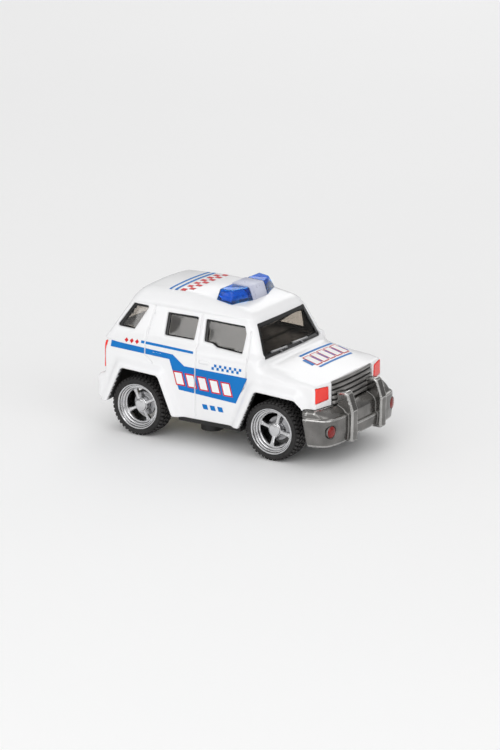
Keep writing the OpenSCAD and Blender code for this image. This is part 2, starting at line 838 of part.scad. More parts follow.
module front_bumper() color("dimgray") {
  difference() {
    union() {
      translate([0, 0, bumper_low_z]) linear_extrude(bumper_step_z - bumper_low_z) bumper_plan(0);
      translate([0, 0, bumper_low_z]) linear_extrude(bumper_edge_z - bumper_low_z) bumper_plan(bumper_step);
      hull() {
        translate([0, 0, bumper_edge_z - slice]) linear_extrude(slice) bumper_plan(bumper_step);
        translate([0, 0, bumper_top_z - slice]) linear_extrude(slice) bumper_plan(bumper_bevel);
      }
      both_sides() guard();
    }
    nose(-fit);
    block([nose_x - grille_d - fit, -grille_w / 2 - fit, grille_low_z - fit],
      [grille_face_x + fit, grille_w / 2 + fit, far]);
    side_prism(-far, far) arch_outline(fa_x);
    block([fa_x, -far, bumper_top_z - bumper_end_drop], [fa_x + arch_fwd, far, far]);
    both_sides() fog_place()
      translate([0, 0, -fog_depth - fit]) cylinder(d = fog_d + 2 * fit, h = fog_depth + 5);
  }
}

module front_grille() color("dimgray") {
  block([nose_x - grille_d + fit, -grille_w / 2 + fit, grille_low_z + fit],
    [nose_x - grille_d + 1.6, grille_w / 2 - fit, grille_top_z]);
  for (i = [0:slat_count - 1]) {
    z = grille_low_z + fit + i * slat_pitch;
    x = grille_face_x - grille_slope * i / (slat_count - 1);
    block([nose_x - grille_d + fit, -grille_w / 2 + fit, z],
      [x, grille_w / 2 - fit, z + slat_pitch - slat_gap]);
  }
}

module headlamp_right() color("red") headlamp_form(0, lamp_proud);

module headlamp_left() color("red") mirror([0, 1, 0]) headlamp_form(0, lamp_proud);

module fog_lamp() {
  fog_place() translate([0, 0, -fog_depth]) cylinder(d = fog_d, h = fog_depth);
}

module fog_lamp_right() color("red") fog_lamp();

module fog_lamp_left() color("red") mirror([0, 1, 0]) fog_lamp();

module tail_lamp_right() color("red") tail_lamp();

module tail_lamp_left() color("red") mirror([0, 1, 0]) tail_lamp();

// Half of the light bar seen from above, from the middle to the right end
module bar_plan(front_in, back_in, end_in) {
  end_y = bar_w / 2 - end_in;
  front = bar_front_x - front_in;
  back = bar_front_x - bar_depth + back_in;
  polygon([
    [back, slice], [front, slice], [front, -bar_split_y],
    [front - bar_sweep, -end_y], [back - bar_sweep, -end_y], [back, -bar_split_y]
  ]);
}

// Tapered solid over half of the bar, drawn in by a wall
module bar_half_form(t) {
  hull() {
    translate([0, 0, bar_foot_z]) linear_extrude(slice) bar_plan(t, t, t);
    translate([0, 0, bar_top_z - t - slice]) linear_extrude(slice)
      bar_plan(bar_slope_front + t, bar_slope_back + t, bar_slope_end + t);
  }
}

// Tapered solid of the middle piece, drawn in by a wall and open at its sides
module bar_mid_form(t, half) {
  out = bar_mid_lip - t;
  front = bar_front_x;
  back = bar_front_x - bar_depth;
  top = bar_top_z + bar_mid_rise - t;
  hull() {
    block([back - out, -half, bar_foot_z], [front + out, half, bar_foot_z + slice]);
    block([back + bar_slope_back - out, -half, top - slice], [front - bar_slope_front + out, half, top]);
  }
}

module end_lens() {
  difference() {
    bar_half_form(0);
    bar_half_form(lens_t);
    cabin(-bar_fit);
    block([-far, -bar_split_y, 0], [far, far, far]);
  }
}

module light_lens_right() color("blue") end_lens();

module light_lens_left() color("blue") mirror([0, 1, 0]) end_lens();

module light_lens_centre() color("lightgray") {
  difference() {
    bar_mid_form(0, bar_mid_w / 2);
    bar_mid_form(lens_t, bar_mid_w);
    cabin(-bar_fit);
  }
}

// Reflector plate inside one end of the bar
module bar_plate() {
  difference() {
    bar_half_form(plate_in);
    block([-far, -bar_split_y, 0], [far, far, far]);
  }
}

// The pegs end at the roof's inner face
module light_bar_base() color("gray") {
  difference() {
    intersection() {
      union() {
        both_sides() bar_plate();
        bar_mid_form(plate_in + bar_mid_lip, bar_split_y + slice);
      }
      below(plate_top_z);
    }
    cabin(-bar_fit);
  }
  both_sides() difference() {
    peg(0);
    cabin(wall);
  }
}

// Rim, tyre and disc are drawn about Z, with their outer face at z = 0, and then set at a wheel
module at_wheel(spot) {
  translate([spot[0], spot[1] * wheel_y, axle_z]) rotate([-90 * spot[1], 0, 0]) children();
}

module rim() color("silver") {
  difference() {
    union() {
      rotate_extrude($fn = 64) polygon([
        [rim_r, -rim_face], [rim_r - 0.5, -rim_face], [rim_r - 0.8, -0.8], [rim_r - 1.3, -0.9],
        [rim_r - 1.6, -1.5], [rim_r - 2.1, -1.7], [barrel_r, -hub_depth], [barrel_r, -rim_depth],
        [seat_r, -rim_depth], [seat_r, -1.2], [rim_r, -1.2]
      ]);
      translate([0, 0, -rim_depth]) cylinder(r = hub_r, h = rim_depth - hub_depth);
      for (i = [0:spoke_count - 1]) rotate(45 + i * 360 / spoke_count)
        block([0, -spoke_w / 2, spoke_z - spoke_t], [barrel_r + 0.5, spoke_w / 2, spoke_z]);
    }
    translate([0, 0, -far]) cylinder(r = axle_r + hub_fit, h = far - axle_end + hub_fit);
  }
}

module tyre() color("#303030") {
  rotate_extrude($fn = 64) polygon([
    [seat_r + hub_fit, -1.2 - hub_fit], [rim_r + hub_fit, -1.2 - hub_fit], [rim_r + hub_fit, -0.3],
    [rim_r + 0.5, 0], [tyre_r - 0.9, -0.2], [tyre_r - 0.2, -0.9], [tyre_r, -1.8],
    [tyre_r, 1.8 - tyre_w], [tyre_r - 0.2, 0.9 - tyre_w], [tyre_r - 0.9, 0.2 - tyre_w],
    [rim_r + 0.2, -tyre_w], [seat_r + hub_fit, 0.3 - tyre_w]
  ]);
}

module brake_disc() color("gray") {
  translate([0, 0, -disc_depth - disc_t]) difference() {
    cylinder(d = disc_d, h = disc_t);
    translate([0, 0, -1]) cylinder(r = hub_r + hub_fit, h = disc_t + 2);
  }
}

module axle(x) color("silver") bar_y(x, -axle_l / 2, axle_l / 2, axle_z, axle_r);

// One half of the motor's case, with the bearings of the axle, the idler's pin and the spring's arbor
module motor_half() {
  half_w = motor_w / 2;
  difference() {
    union() {
      block([case_back_x, run_gap, case_low_z], [case_front_x, half_w, case_top_z]);
      for (x = [case_back_x - ear_l, case_front_x - case_wall])
        block([x, 2, base_top_z], [x + ear_l + case_wall, half_w - 2, base_top_z + ear_t]);
      bar_y(ra_x, half_w - case_wall, sleeve_y, axle_z, sleeve_r);
    }
    block([case_back_x + case_wall, -1, case_low_z + case_wall],
      [case_front_x - case_wall, half_w - case_wall, case_top_z - case_wall]);
    bar_y(ra_x, -1, far, axle_z, axle_r + run_gap);
    bar_y(spring_x, -1, far, spring_z, journal_r + run_gap);
    bar_y(idler_x, -1, half_w - case_wall + pin_reach, idler_z, pin_r + hub_fit);
  }
}

module motor_case_right() color("khaki") mirror([0, 1, 0]) motor_half();

module motor_case_left() color("khaki") motor_half();

// Outline of a gear with straight-sided teeth, the first tooth at an angle
module gear_outline(teeth, phase) {
  pitch_r = gear_m * teeth / 2;
  tip_r = pitch_r + 0.8 * gear_m;
  root_r = pitch_r - 1.1 * gear_m;
  tip_half = asin(0.32 * gear_m / tip_r);
  root_half = asin(0.8 * gear_m / root_r);
  tooth = [[root_r, -root_half], [tip_r, -tip_half], [tip_r, tip_half], [root_r, root_half]];
  polygon([for (i = [0:teeth - 1], c = tooth)
    let (a = phase + 360 * i / teeth + c[1]) [c[0] * cos(a), c[0] * sin(a)]]);
}

module gear(x, z, teeth, phase) {
  translate([x, 0, z]) side_prism(gear_back_y, gear_back_y + gear_w) gear_outline(teeth, phase);
}

module axle_gear() color("ivory") {
  difference() {
    gear(ra_x, axle_z, axle_teeth, axle_phase);
    bar_y(ra_x, -far, far, axle_z, axle_r + hub_fit);
  }
}

module idler_gear() color("ivory") {
  difference() {
    gear(idler_x, idler_z, idler_teeth, idler_phase);
    bar_y(idler_x, -far, far, idler_z, pin_r + run_gap);
  }
}

module idler_pin() color("silver") {
  reach = motor_w / 2 - case_wall + pin_reach - hub_fit;
  bar_y(idler_x, -reach, reach, idler_z, pin_r);
}

module spring_gear() color("ivory") {
  inside = motor_w / 2 - case_wall - 0.2;
  gear(spring_x, spring_z, spring_teeth, spring_phase);
  bar_y(spring_x, -inside, inside, spring_z, arbor_r);
  bar_y(spring_x, -motor_w / 2, motor_w / 2, spring_z, journal_r);
}

// A point of the mainspring's spiral, on its inner or its outer face
function spiral(i, out) =
  let (turn_r = spring_in_r + (spring_out_r - strip_t - spring_in_r) * i / spiral_steps)
  (turn_r + out) * [cos(spiral_step * i), sin(spiral_step * i)];

// Spiral strip round the arbor
module mainspring() color("slategray") {
  inner_face = [for (i = [0:spiral_steps]) spiral(i, 0)];
  outer_face = [for (i = [spiral_steps:-1:0]) spiral(i, strip_t)];
  translate([spring_x, 0, spring_z]) side_prism(strip_y[0], strip_y[1])
    polygon(concat(inner_face, outer_face));
}

body_shell();
glazing();
interior_tub();
chassis_base();
base_screws();
front_bumper();
front_grille();
headlamp_right();
headlamp_left();
fog_lamp_right();
fog_lamp_left();
tail_lamp_right();
tail_lamp_left();
light_bar_base();
light_lens_right();
light_lens_left();
light_lens_centre();
axle(fa_x);  // front_axle
axle(ra_x);  // rear_axle
for (i = [0:len(places) - 1]) {
  at_wheel(wheel_spots[i]) rim();
  at_wheel(wheel_spots[i]) tyre();
  at_wheel(wheel_spots[i]) brake_disc();
}
motor_case_right();
motor_case_left();
axle_gear();
idler_gear();
idler_pin();
spring_gear();
mainspring();
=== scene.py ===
import math

import bmesh
import bpy
import numpy as np
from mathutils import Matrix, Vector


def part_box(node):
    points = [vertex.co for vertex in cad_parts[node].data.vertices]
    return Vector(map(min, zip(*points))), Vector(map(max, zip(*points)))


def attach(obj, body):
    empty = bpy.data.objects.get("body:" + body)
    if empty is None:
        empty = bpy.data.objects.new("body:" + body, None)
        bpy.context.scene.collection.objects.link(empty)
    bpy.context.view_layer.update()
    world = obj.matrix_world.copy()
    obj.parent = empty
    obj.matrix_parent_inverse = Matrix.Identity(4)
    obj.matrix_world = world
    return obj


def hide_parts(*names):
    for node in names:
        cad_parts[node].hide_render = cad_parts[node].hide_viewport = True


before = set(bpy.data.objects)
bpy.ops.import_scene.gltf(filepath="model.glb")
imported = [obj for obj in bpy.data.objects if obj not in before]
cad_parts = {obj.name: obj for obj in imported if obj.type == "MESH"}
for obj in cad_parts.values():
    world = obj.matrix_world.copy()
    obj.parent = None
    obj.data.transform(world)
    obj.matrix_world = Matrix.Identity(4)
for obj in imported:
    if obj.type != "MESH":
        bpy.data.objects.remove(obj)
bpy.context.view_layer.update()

import openvdb
from mathutils import Matrix, Vector

# Looks of a toy police off-roader. Sizes are millimetres, +X forward, +Y left and +Z up.
MM = 0.001
SIDES = ((1, "left"), (-1, "right"))


def box_mm(node):
    low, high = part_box(node)
    return np.array(low) / MM, np.array(high) / MM


# Places taken from the frame
front_tyre = box_mm("tyre_front_right")
rear_tyre = box_mm("tyre_rear_right")
FRONT_X = (front_tyre[0][0] + front_tyre[1][0]) / 2
REAR_X = (rear_tyre[0][0] + rear_tyre[1][0]) / 2
AXLE_Z = (front_tyre[0][2] + front_tyre[1][2]) / 2
TYRE_R = (front_tyre[1][2] - front_tyre[0][2]) / 2
WHEEL_Y = -front_tyre[0][1]
TYRE_W = front_tyre[1][1] - front_tyre[0][1]

# Body: heights, half widths and slopes
BELT_Z = 37
BELT_Y = 23.5
WAIST_Y = 24.75
WAIST_Z = 27
SILL_Z = 10.3
CABIN_LEAN = 0.336
SCREEN_LEAN = 0.452
SCREEN_FOOT_X = FRONT_X - 5.4
HATCH_LEAN = 0.54
HATCH_FOOT_X = REAR_X - 15.4
ROOF_Z = 57.4
RAIL_Z = 50.8
RAIL_OUT = 0.35
ROOF_PEAK_X = REAR_X + 11
ROOF_BEND_FRONT = 0.0033
ROOF_BEND_REAR = 0.0016
TAIL_X = REAR_X - 15.4
HOOD_BACK_X = FRONT_X - 7
HOOD_BACK_Z = 36.7
HOOD_SLOPE = 0.185
NOSE_X = FRONT_X + 20.1
NOSE_Y = 24.2
GRILLE_Y = 14.8
FLARE_Y = 26.55
WALL = 1.6
LAMP_DEEP = 1.1
VOXEL = 0.25
TRIM_VOXEL = 0.2
FINE_VOXEL = 0.13
SLAT_VOXEL = FINE_VOXEL * 1.2

# Front end: overriders seen from the side, fog lamps and grille
GUARD = [
    (FRONT_X + 20.6, 8.4), (FRONT_X + 20.6, 27.2), (FRONT_X + 24.5, 27.6), (FRONT_X + 25.7, 26.9),
    (FRONT_X + 28.0, 20.4), (FRONT_X + 27.7, 8.4)]
BUMPER_REACH = 26.35
BUMPER_LOW_Z = 8.45
RIDGE_Z = 14.6
RIDGE_RISE = 4.7
GUARD_Y = 10.6
GUARD_HALF = 2.1
FOG_X = FRONT_X + 24.5
FOG_Y = 22.2
FOG_Z = 14.5
FOG_R = 2.45
FOG_OUT = (math.cos(math.radians(11)), math.sin(math.radians(11)))
# How far the bend test reaches, and the bend above which the bumper's edges get a painted highlight
EDGE_REACH = 0.4
EDGE_BEND = 0.65
SLATS = 5
SLAT_PITCH = 1.85

# Windows, wheels and light bar
FRAME_R = 0.8
PANE_BOW = 0.15
PANE_STEP = 1.0
PANE_WALL = 0.4
REVEAL = (0.7, -0.3)
SPOKES = 4
SPOKE_START = {"front": 75, "rear": 28}
CALIPER_ANGLE = 25
CALIPER_STEPS = 6
TREAD_ROWS = 4
TREAD_BLOCKS = 42
TREAD_EDGE = 0.3
TREAD_GAP = 0.17
TREAD_FOOT_R = 10.7
TREAD_TRIM = 0.1
TREAD_SHARE = 0.34
TREAD_SKEW = 0.022
SHOULDER_DROP = 0.14
# Depth from the tyre's outside within which the tread tops get painted light
LIT_TREAD_DEPTH = 0.3
BAR_X = FRONT_X - 20
BAR_MID = 4.9
BAR_END = 15.8
BAR_FOOT_Z = 53.4
BAR_TOP_Z = 59.75
BAR_CENTRE = ((0.3, -1, 2.3, 0), (0.3, 1, 2.3, 0), (-11, 1, -0.8, 0.45), (-11, -1, -0.8, 0.45))
BAR_PLATE = ((-1.5, 4), (-4.7, 13), (-10.6, 12.2), (-7.2, 4))
CELLS = 3
LENS_WALL = 0.4
INK = 0.08
PRINT_STEP = 0.8


# Signed fields: negative inside
def smooth_max(a, b, k):
    h = np.maximum(k - np.abs(a - b), 0) / k
    return np.maximum(a, b) + h * h * (k / 4)


def smooth_min(a, b, k):
    return -smooth_max(-a, -b, k)


def over(v):
    return np.maximum(v, 0)


def line_field(points, u, v):
    """Distance to an open line of points in the plane of u and v."""
    nearest = None
    for (u0, v0), (u1, v1) in zip(points, points[1:]):
        du, dv = u1 - u0, v1 - v0
        t = np.clip(((u - u0) * du + (v - v0) * dv) / (du * du + dv * dv), 0, 1)
        d = (u - u0 - t * du) ** 2 + (v - v0 - t * dv) ** 2
        nearest = d if nearest is None else np.minimum(nearest, d)
    return np.sqrt(nearest)


def polygon_field(points, u, v):
    """Distance to a closed outline in the plane of u and v."""
    closed = points + points[:1]
    outside = np.ones(np.broadcast(u, v).shape, bool)
    for (u0, v0), (u1, v1) in zip(closed, closed[1:]):
        if v1 != v0:
            outside ^= ((v0 <= v) != (v1 <= v)) & (u < u0 + (v - v0) * (u1 - u0) / (v1 - v0))
    return np.where(outside, 1, -1) * line_field(closed, u, v)


def rounded_polygon(points, r, u, v):
    """Outline with its corners rounded, from an outline drawn in by the radius."""
    return polygon_field(inset(points, r), u, v) - r


def inset(points, r):
    """Outline drawn in by r. The points run clockwise in u to the right and v up."""
    moved = []
    n = len(points)
    for i in range(n):
        a, b, c = (np.array(points[(i + k) % n], float) for k in (-1, 0, 1))
        d0 = (b - a) / np.linalg.norm(b - a)
        d1 = (c - b) / np.linalg.norm(c - b)
        n0, n1 = np.array([d0[1], -d0[0]]), np.array([d1[1], -d1[0]])
        m = (n0 + n1) / (1 + n0 @ n1)
        moved.append(tuple(b + r * m))
    return moved


def box_field(p, low, high, r):
    """Box with rounded edges. p holds the three coordinates."""
    q = [np.abs(c - (lo + hi) / 2) - (hi - lo) / 2 + r for c, lo, hi in zip(p, low, high)]
    out = np.sqrt(over(q[0]) ** 2 + over(q[1]) ** 2 + over(q[2]) ** 2)
    return out + np.minimum(np.maximum(np.maximum(q[0], q[1]), q[2]), 0) - r


# Outlines seen from the side, in x and z
def arch_points(axle_x):
    return [
        (axle_x - 17.2, 4.3), (axle_x - 14.2, SILL_Z), (axle_x - 7, 26.1),
        (axle_x + 9.6, 25.3), (axle_x + 16, SILL_Z), (axle_x + 19, 4.3)]


def front_arch_points():
    return arch_points(FRONT_X)[:3] + [
        (FRONT_X + 10.4, 25.2), (FRONT_X + 13.2, 22.5), (FRONT_X + 16.2, 8.4), (FRONT_X + 17, 4.3)]


QUARTER_WINDOW = [
    (REAR_X - 11.2, 41.2), (REAR_X - 5.3, 50.3), (REAR_X + 1.8, 50.1), (REAR_X - 3.3, 40.9)]
REAR_WINDOW = [
    (REAR_X + 10.3, 40.6), (REAR_X + 10.3, 49.0), (REAR_X + 24.2, 49.1), (REAR_X + 23.7, 40.6)]
FRONT_WINDOW = [
    (REAR_X + 28.0, 40.8), (REAR_X + 27.5, 48.9), (FRONT_X - 15.2, 48.6), (FRONT_X - 14.1, 46.1),
    (FRONT_X - 14.4, 38.7), (FRONT_X - 26.1, 39.4), (FRONT_X - 28.3, 40.5)]
SIDE_WINDOWS = {"quarter": QUARTER_WINDOW, "rear": REAR_WINDOW, "front": FRONT_WINDOW}
WINDOW_R = 0.6
# Outlines seen from the front and the back, in y and z
SCREEN = [(-20.4, 37.0), (-16.5, 49.3), (16.5, 49.3), (20.4, 37.0)]
BACK_GLASS = [(-18, 41.7), (-15.5, 49), (15.5, 49), (18, 41.7)]

# Shut lines of the doors, seen from the side
DOOR_LINES = [
    [(REAR_X + 4.6, 50.5), (REAR_X + 2.9, 41), (REAR_X + 3.1, 32.5), (REAR_X + 6.4, 29.6)],
    [(REAR_X + 25.9, 50.2), (REAR_X + 25.7, 12)],
    [(FRONT_X - 12.2, 47), (FRONT_X - 11.4, 37.5), (FRONT_X - 11.8, 27.5), (FRONT_X - 14.5, 24)],
]
GROOVE_HALF = 0.27
GROOVE_DEEP = 0.4
HANDLES = (REAR_X + 6.4, REAR_X + 27.6)
HANDLE_L = 4.4
HANDLE_LOW = 32.8
HANDLE_HIGH = 34.1


def print_cuts():
    """Lines that cut the side prints at grooves and handles: a point and a direction across."""
    cuts = []
    for points in DOOR_LINES[:2]:
        for (u0, v0), (u1, v1) in zip(points, points[1:]):
            size = math.hypot(u1 - u0, v1 - v0)
            nu, nv = (v1 - v0) / size, (u0 - u1) / size
            for d in (-GROOVE_HALF, GROOVE_HALF):
                cuts.append(((u0 + d * nu, v0 + d * nv), (nu, nv)))
    for start in HANDLES:
        for edge in (start - 0.1, start + 0.3, start + HANDLE_L - 0.3, start + HANDLE_L + 0.1):
            cuts.append(((edge, 0), (1, 0)))
    for edge in (HANDLE_LOW - 0.1, HANDLE_LOW + 0.3, HANDLE_HIGH - 0.3, HANDLE_HIGH + 0.1):
        cuts.append(((0, edge), (0, 1)))
    return cuts


def hood_z(x, ay):
    fall = 0.03 * np.clip((FRONT_X + 14 - x) / 10, 0, 1)
    return HOOD_BACK_Z - HOOD_SLOPE * (x - HOOD_BACK_X) - 0.0016 * ay ** 2 - fall * over(ay - 17.5) ** 2


def nose_face_x(ay):
    return NOSE_X - 0.19 * over(ay - GRILLE_Y)


def cabin_field(x, ay, z):
    dz = z - BELT_Z
    rail = RAIL_OUT * np.clip((z - RAIL_Z) / 0.4, 0, 1)
    side = (ay - BELT_Y + CABIN_LEAN * dz) / math.hypot(1, CABIN_LEAN) - rail
    screen = (x - SCREEN_FOOT_X + SCREEN_LEAN * dz + 0.001 * ay ** 2) / math.hypot(1, SCREEN_LEAN)
    hatch = (HATCH_FOOT_X + HATCH_LEAN * dz - x + 0 * ay) / math.hypot(1, HATCH_LEAN)
    bend = np.where(x > ROOF_PEAK_X, ROOF_BEND_FRONT, ROOF_BEND_REAR)
    crown = 0.0015 + 0.0025 * np.clip((ROOF_PEAK_X + 10 - x) / 25, 0, 1)
    roof = z - ROOF_Z + bend * (x - ROOF_PEAK_X) ** 2 + crown * ay ** 2
    form = smooth_max(smooth_max(roof, side, 4.2), screen, 3.2)
    rounding = np.clip(0.2 * dz + 1, 1.4, 3.6)
    return np.maximum(smooth_max(form, hatch, rounding), BELT_Z - 0.6 - z)


def nose_field(x, ay, z):
    side = ay - NOSE_Y - 0.02 * over(FRONT_X + 16 - x)
    form = smooth_max(z - hood_z(x, ay), side, 1.8)
    form = smooth_max(form, x - nose_face_x(ay), 1.0)
    return smooth_max(form, FRONT_X - 14 - x, 8)


def lower_field(x, ay, z):
    dz = z - WAIST_Z
    side = ay - WAIST_Y + np.where(dz > 0, 0.007, 0.0012) * dz ** 2
    form = smooth_max(side, TAIL_X - x, 1.6)
    edge = np.clip(2 + 0.5 * (REAR_X - 5 - x), 2, 6)
    return smooth_max(form, np.maximum(z - BELT_Z - 1.2, x - FRONT_X + 6), edge)


def flare_field(axle_x, x, ay, z):
    band = polygon_field(arch_points(axle_x), x, z) - 2.3 - 0.45 * np.clip(FLARE_Y - ay, 0, 3)
    band = np.maximum(band, FLARE_Y - 5 - ay)
    return smooth_max(band, ay - FLARE_Y, 1.6)


def core_field(x, ay, z):
    """Doors, cabin and nose without the flares."""
    form = smooth_min(cabin_field(x, ay, z), lower_field(x, ay, z), 1.5)
    return smooth_min(form, nose_field(x, ay, z), 2)


def outer_field(x, y, z):
    """Outside of the shell, closed."""
    ay = np.abs(y)
    form = core_field(x, ay, z)
    front_flare = np.maximum(flare_field(FRONT_X, x, ay, z), np.minimum(x - FRONT_X, 22 - z))
    form = smooth_min(form, flare_field(REAR_X, x, ay, z), 1.6)
    form = smooth_min(form, front_flare, 2.4)
    bumper = box_field((x, ay, z), (TAIL_X - 3.1, -26, 12.2), (TAIL_X + 3, 25.4, 22.2), 1.8)
    return smooth_min(form, bumper, 1.2)


def skin_field(x, y, z):
    """Outside of the shell with its door handles."""
    form = outer_field(x, y, z)
    for start in HANDLES:
        low, high = (start, 22.5, HANDLE_LOW), (start + HANDLE_L, 25.05, HANDLE_HIGH)
        handle = box_field((x, np.abs(y), z), low, high, 0.5)
        form = smooth_min(form, handle, 0.4)
    return form


def bm_mesh(name, bm):
    mesh = bpy.data.meshes.new(name)
    bm.to_mesh(mesh)
    bm.free()
    return mesh


def solid_mesh(name, verts, faces):
    mesh = bpy.data.meshes.new(name)
    mesh.from_pydata([Vector(v) * MM for v in verts], [], faces)
    bm = bmesh.new()
    bm.from_mesh(mesh)
    bmesh.ops.remove_doubles(bm, verts=bm.verts[:], dist=0.002 * MM)
    bmesh.ops.recalc_face_normals(bm, faces=bm.faces[:])
    bm.to_mesh(mesh)
    bm.free()
    return mesh


def loft(name, loops, closed=False, caps=False):
    """Skin over rings of points. A closed skin joins its last ring to its first."""
    n = len(loops[0])
    rings = len(loops)
    verts = [p for ring in loops for p in ring]
    faces = []
    for k in range(rings if closed else rings - 1):
        here, there = k * n, (k + 1) % rings * n
        for i in range(n):
            j = (i + 1) % n
            faces.append((here + i, here + j, there + j, there + i))
    if caps:
        faces.append(tuple(range(n)))
        faces.append(tuple(range((rings - 1) * n, rings * n)))
    return solid_mesh(name, verts, faces)


def lathe(name, profile, segments, closed=False):
    """Outline of radii and heights turned about Z."""
    turns = [2 * math.pi * i / segments for i in range(segments)]
    loops = [[(r * math.cos(a), r * math.sin(a), h) for a in turns] for r, h in profile]
    return loft(name, loops, closed)


def merge(name, meshes):
    bm = bmesh.new()
    for mesh in meshes:
        bm.from_mesh(mesh)
        bpy.data.meshes.remove(mesh)
    return bm_mesh(name, bm)


def patch(name, outline, step, place, cuts=()):
    """Outline filled, cut along a square grid and other lines, then set in place by a function."""
    bm = bmesh.new()
    bm.faces.new([bm.verts.new((u, v, 0)) for u, v in outline])
    bmesh.ops.remove_doubles(bm, verts=bm.verts[:], dist=0.002)
    for axis in (0, 1):
        values = [p[axis] for p in outline]
        first, last = math.ceil(min(values) / step), math.floor(max(values) / step)
        lines = [step * k for k in range(first, last + 1)]
        across = np.eye(2)[axis]
        cuts = list(cuts) + [(across * at, across) for at in lines]
    for at, across in cuts:
        bmesh.ops.bisect_plane(
            bm, geom=bm.verts[:] + bm.edges[:] + bm.faces[:], dist=0.002,
            plane_co=(*at, 0), plane_no=(*across, 0))
    for vert in bm.verts:
        vert.co = Vector(place(vert.co.x, vert.co.y)) * MM
    return bm_mesh(name, bm)


def rounded_loop(points, r, grow=0.0, steps=4):
    """Points round an outline that runs clockwise, with rounded corners, grown outwards."""
    loop = []
    n = len(points)
    for i in range(n):
        a, b, c = (np.array(points[(i + k) % n], float) for k in (-1, 0, 1))
        d0 = (b - a) / np.linalg.norm(b - a)
        d1 = (c - b) / np.linalg.norm(c - b)
        turn = math.atan2(d0[1] * d1[0] - d0[0] * d1[1], d0 @ d1)
        inward = np.array([d0[1] + d1[1], -d0[0] - d1[0]]) / (1 + d0 @ d1)
        start = math.atan2(d0[0], -d0[1])
        for k in range(steps + 1):
            angle = start - turn * k / steps
            corner = b - grow * inward
            if turn > 0:
                corner = b + r * inward + (r + grow) * np.array([math.cos(angle), math.sin(angle)])
            loop.append(tuple(corner))
    return loop


def finish_object(name, mesh, material, body="car", replaces=(), smooth=True, sharp=None):
    mesh.materials.clear()
    mesh.materials.append(material)
    mesh.polygons.foreach_set("use_smooth", [smooth] * len(mesh.polygons))
    if sharp:
        mesh.set_sharp_from_angle(angle=math.radians(sharp))
    obj = bpy.data.objects.new(name, mesh)
    bpy.context.scene.collection.objects.link(obj)
    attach(obj, body)
    if replaces:
        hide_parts(*replaces)
    return obj


def mark(obj, material, choose):
    """Gives a second material to the faces that a test of their centres chooses."""
    mesh = obj.data
    mesh.materials.append(material)
    centres = np.zeros(len(mesh.polygons) * 3)
    mesh.polygons.foreach_get("center", centres)
    chosen = choose(*(centres.reshape(-1, 3) / MM).T)
    mesh.polygons.foreach_set("material_index", chosen.astype(int))


def thicken(obj, amount, offset=0):
    wall = obj.modifiers.new("wall", "SOLIDIFY")
    wall.thickness = amount * MM
    wall.offset = offset


def sample(field, p):
    """Field values at points given in voxels, between the grid's points."""
    p = np.clip(p, 0, np.array(field.shape) - 1.001)
    i = p.astype(int)
    f = p - i
    total = 0
    for corner in range(8):
        step = np.array([corner >> 2 & 1, corner >> 1 & 1, corner & 1])
        weight = np.prod(np.where(step, f, 1 - f), axis=1)
        total = total + weight * field[tuple((i + step).T)]
    return total


def grid_axes(low, high, voxel):
    x, y, z = (np.arange(lo, hi + voxel, voxel, dtype=np.float32) for lo, hi in zip(low, high))
    return x[:, None, None], y[None, :, None], z[None, None, :]


def half_axes(low, high, voxel):
    """Grid of the right half, with its last layer on the centre plane."""
    x, y, z = grid_axes(low, high, voxel)
    return x, y - y.max(), z


def field_mesh(name, field, low, voxel, adaptivity):
    """Mesh of a field's zero surface, with its normals taken from the field."""
    band = 3 * voxel
    grid = openvdb.FloatGrid(band)
    grid.copyFromArray(np.clip(field, -band, band).astype(np.float32))
    points, triangles, quads = grid.convertToPolygons(0.0, adaptivity)
    faces = [tuple(map(int, f)) for f in quads] + [tuple(map(int, f)) for f in triangles]
    mesh = bpy.data.meshes.new(name)
    mesh.from_pydata(points * voxel * MM + np.array(low) * MM, [], faces)
    slope = [sample(field, points + s) - sample(field, points - s) for s in np.eye(3) * 0.6]
    normals = np.stack(slope, axis=1)
    normals /= np.maximum(np.linalg.norm(normals, axis=1, keepdims=True), 1e-9)
    mesh.polygons.foreach_set("use_smooth", [True] * len(faces))
    mesh.normals_split_custom_set_from_vertices(normals)
    return mesh


def mirrored_mesh(name, half, low, y, voxel, adaptivity):
    """Mesh of a field that is given on the right half and is the same on the left."""
    whole = np.concatenate([half, half[:, -2::-1, :]], axis=1)
    return field_mesh(name, whole, (low[0], float(y.min()), low[2]), voxel, adaptivity)


# Materials
def linear(r, g, b):
    """Screen colour of 0 to 255 in the linear values that shaders take."""
    def channel(c):
        return c / 255 / 12.92 if c <= 10 else ((c / 255 + 0.055) / 1.055) ** 2.4
    return channel(r), channel(g), channel(b), 1


def new_material(name, color, roughness, **sockets):
    material = bpy.data.materials.new(name)
    material.use_nodes = True
    shader = material.node_tree.nodes["Principled BSDF"]
    shader.inputs["Base Color"].default_value = color
    shader.inputs["Roughness"].default_value = roughness
    for key, value in sockets.items():
        shader.inputs[key.replace("_", " ")].default_value = value
    return material


def noise(material, scale, detail=3.0):
    tree = material.node_tree
    place = tree.nodes.new("ShaderNodeTexCoord")
    texture = tree.nodes.new("ShaderNodeTexNoise")
    texture.inputs["Scale"].default_value = scale
    texture.inputs["Detail"].default_value = detail
    tree.links.new(place.outputs["Object"], texture.inputs["Vector"])
    return texture.outputs["Fac"]


def ramp(material, value, stops, socket):
    """Drives a shader's socket from a value through colour stops."""
    tree = material.node_tree
    node = tree.nodes.new("ShaderNodeValToRGB")
    node.color_ramp.elements[0].position, node.color_ramp.elements[0].color = stops[0]
    node.color_ramp.elements[1].position, node.color_ramp.elements[1].color = stops[1]
    tree.links.new(value, node.inputs["Fac"])
    tree.links.new(node.outputs["Color"], tree.nodes["Principled BSDF"].inputs[socket])


def tint(material, value, dark, light):
    ramp(material, value, [(0.3, dark), (0.7, light)], "Base Color")


def wear(material, value, low, high):
    ramp(material, value, [(0.3, (low, low, low, 1)), (0.7, (high, high, high, 1))], "Roughness")


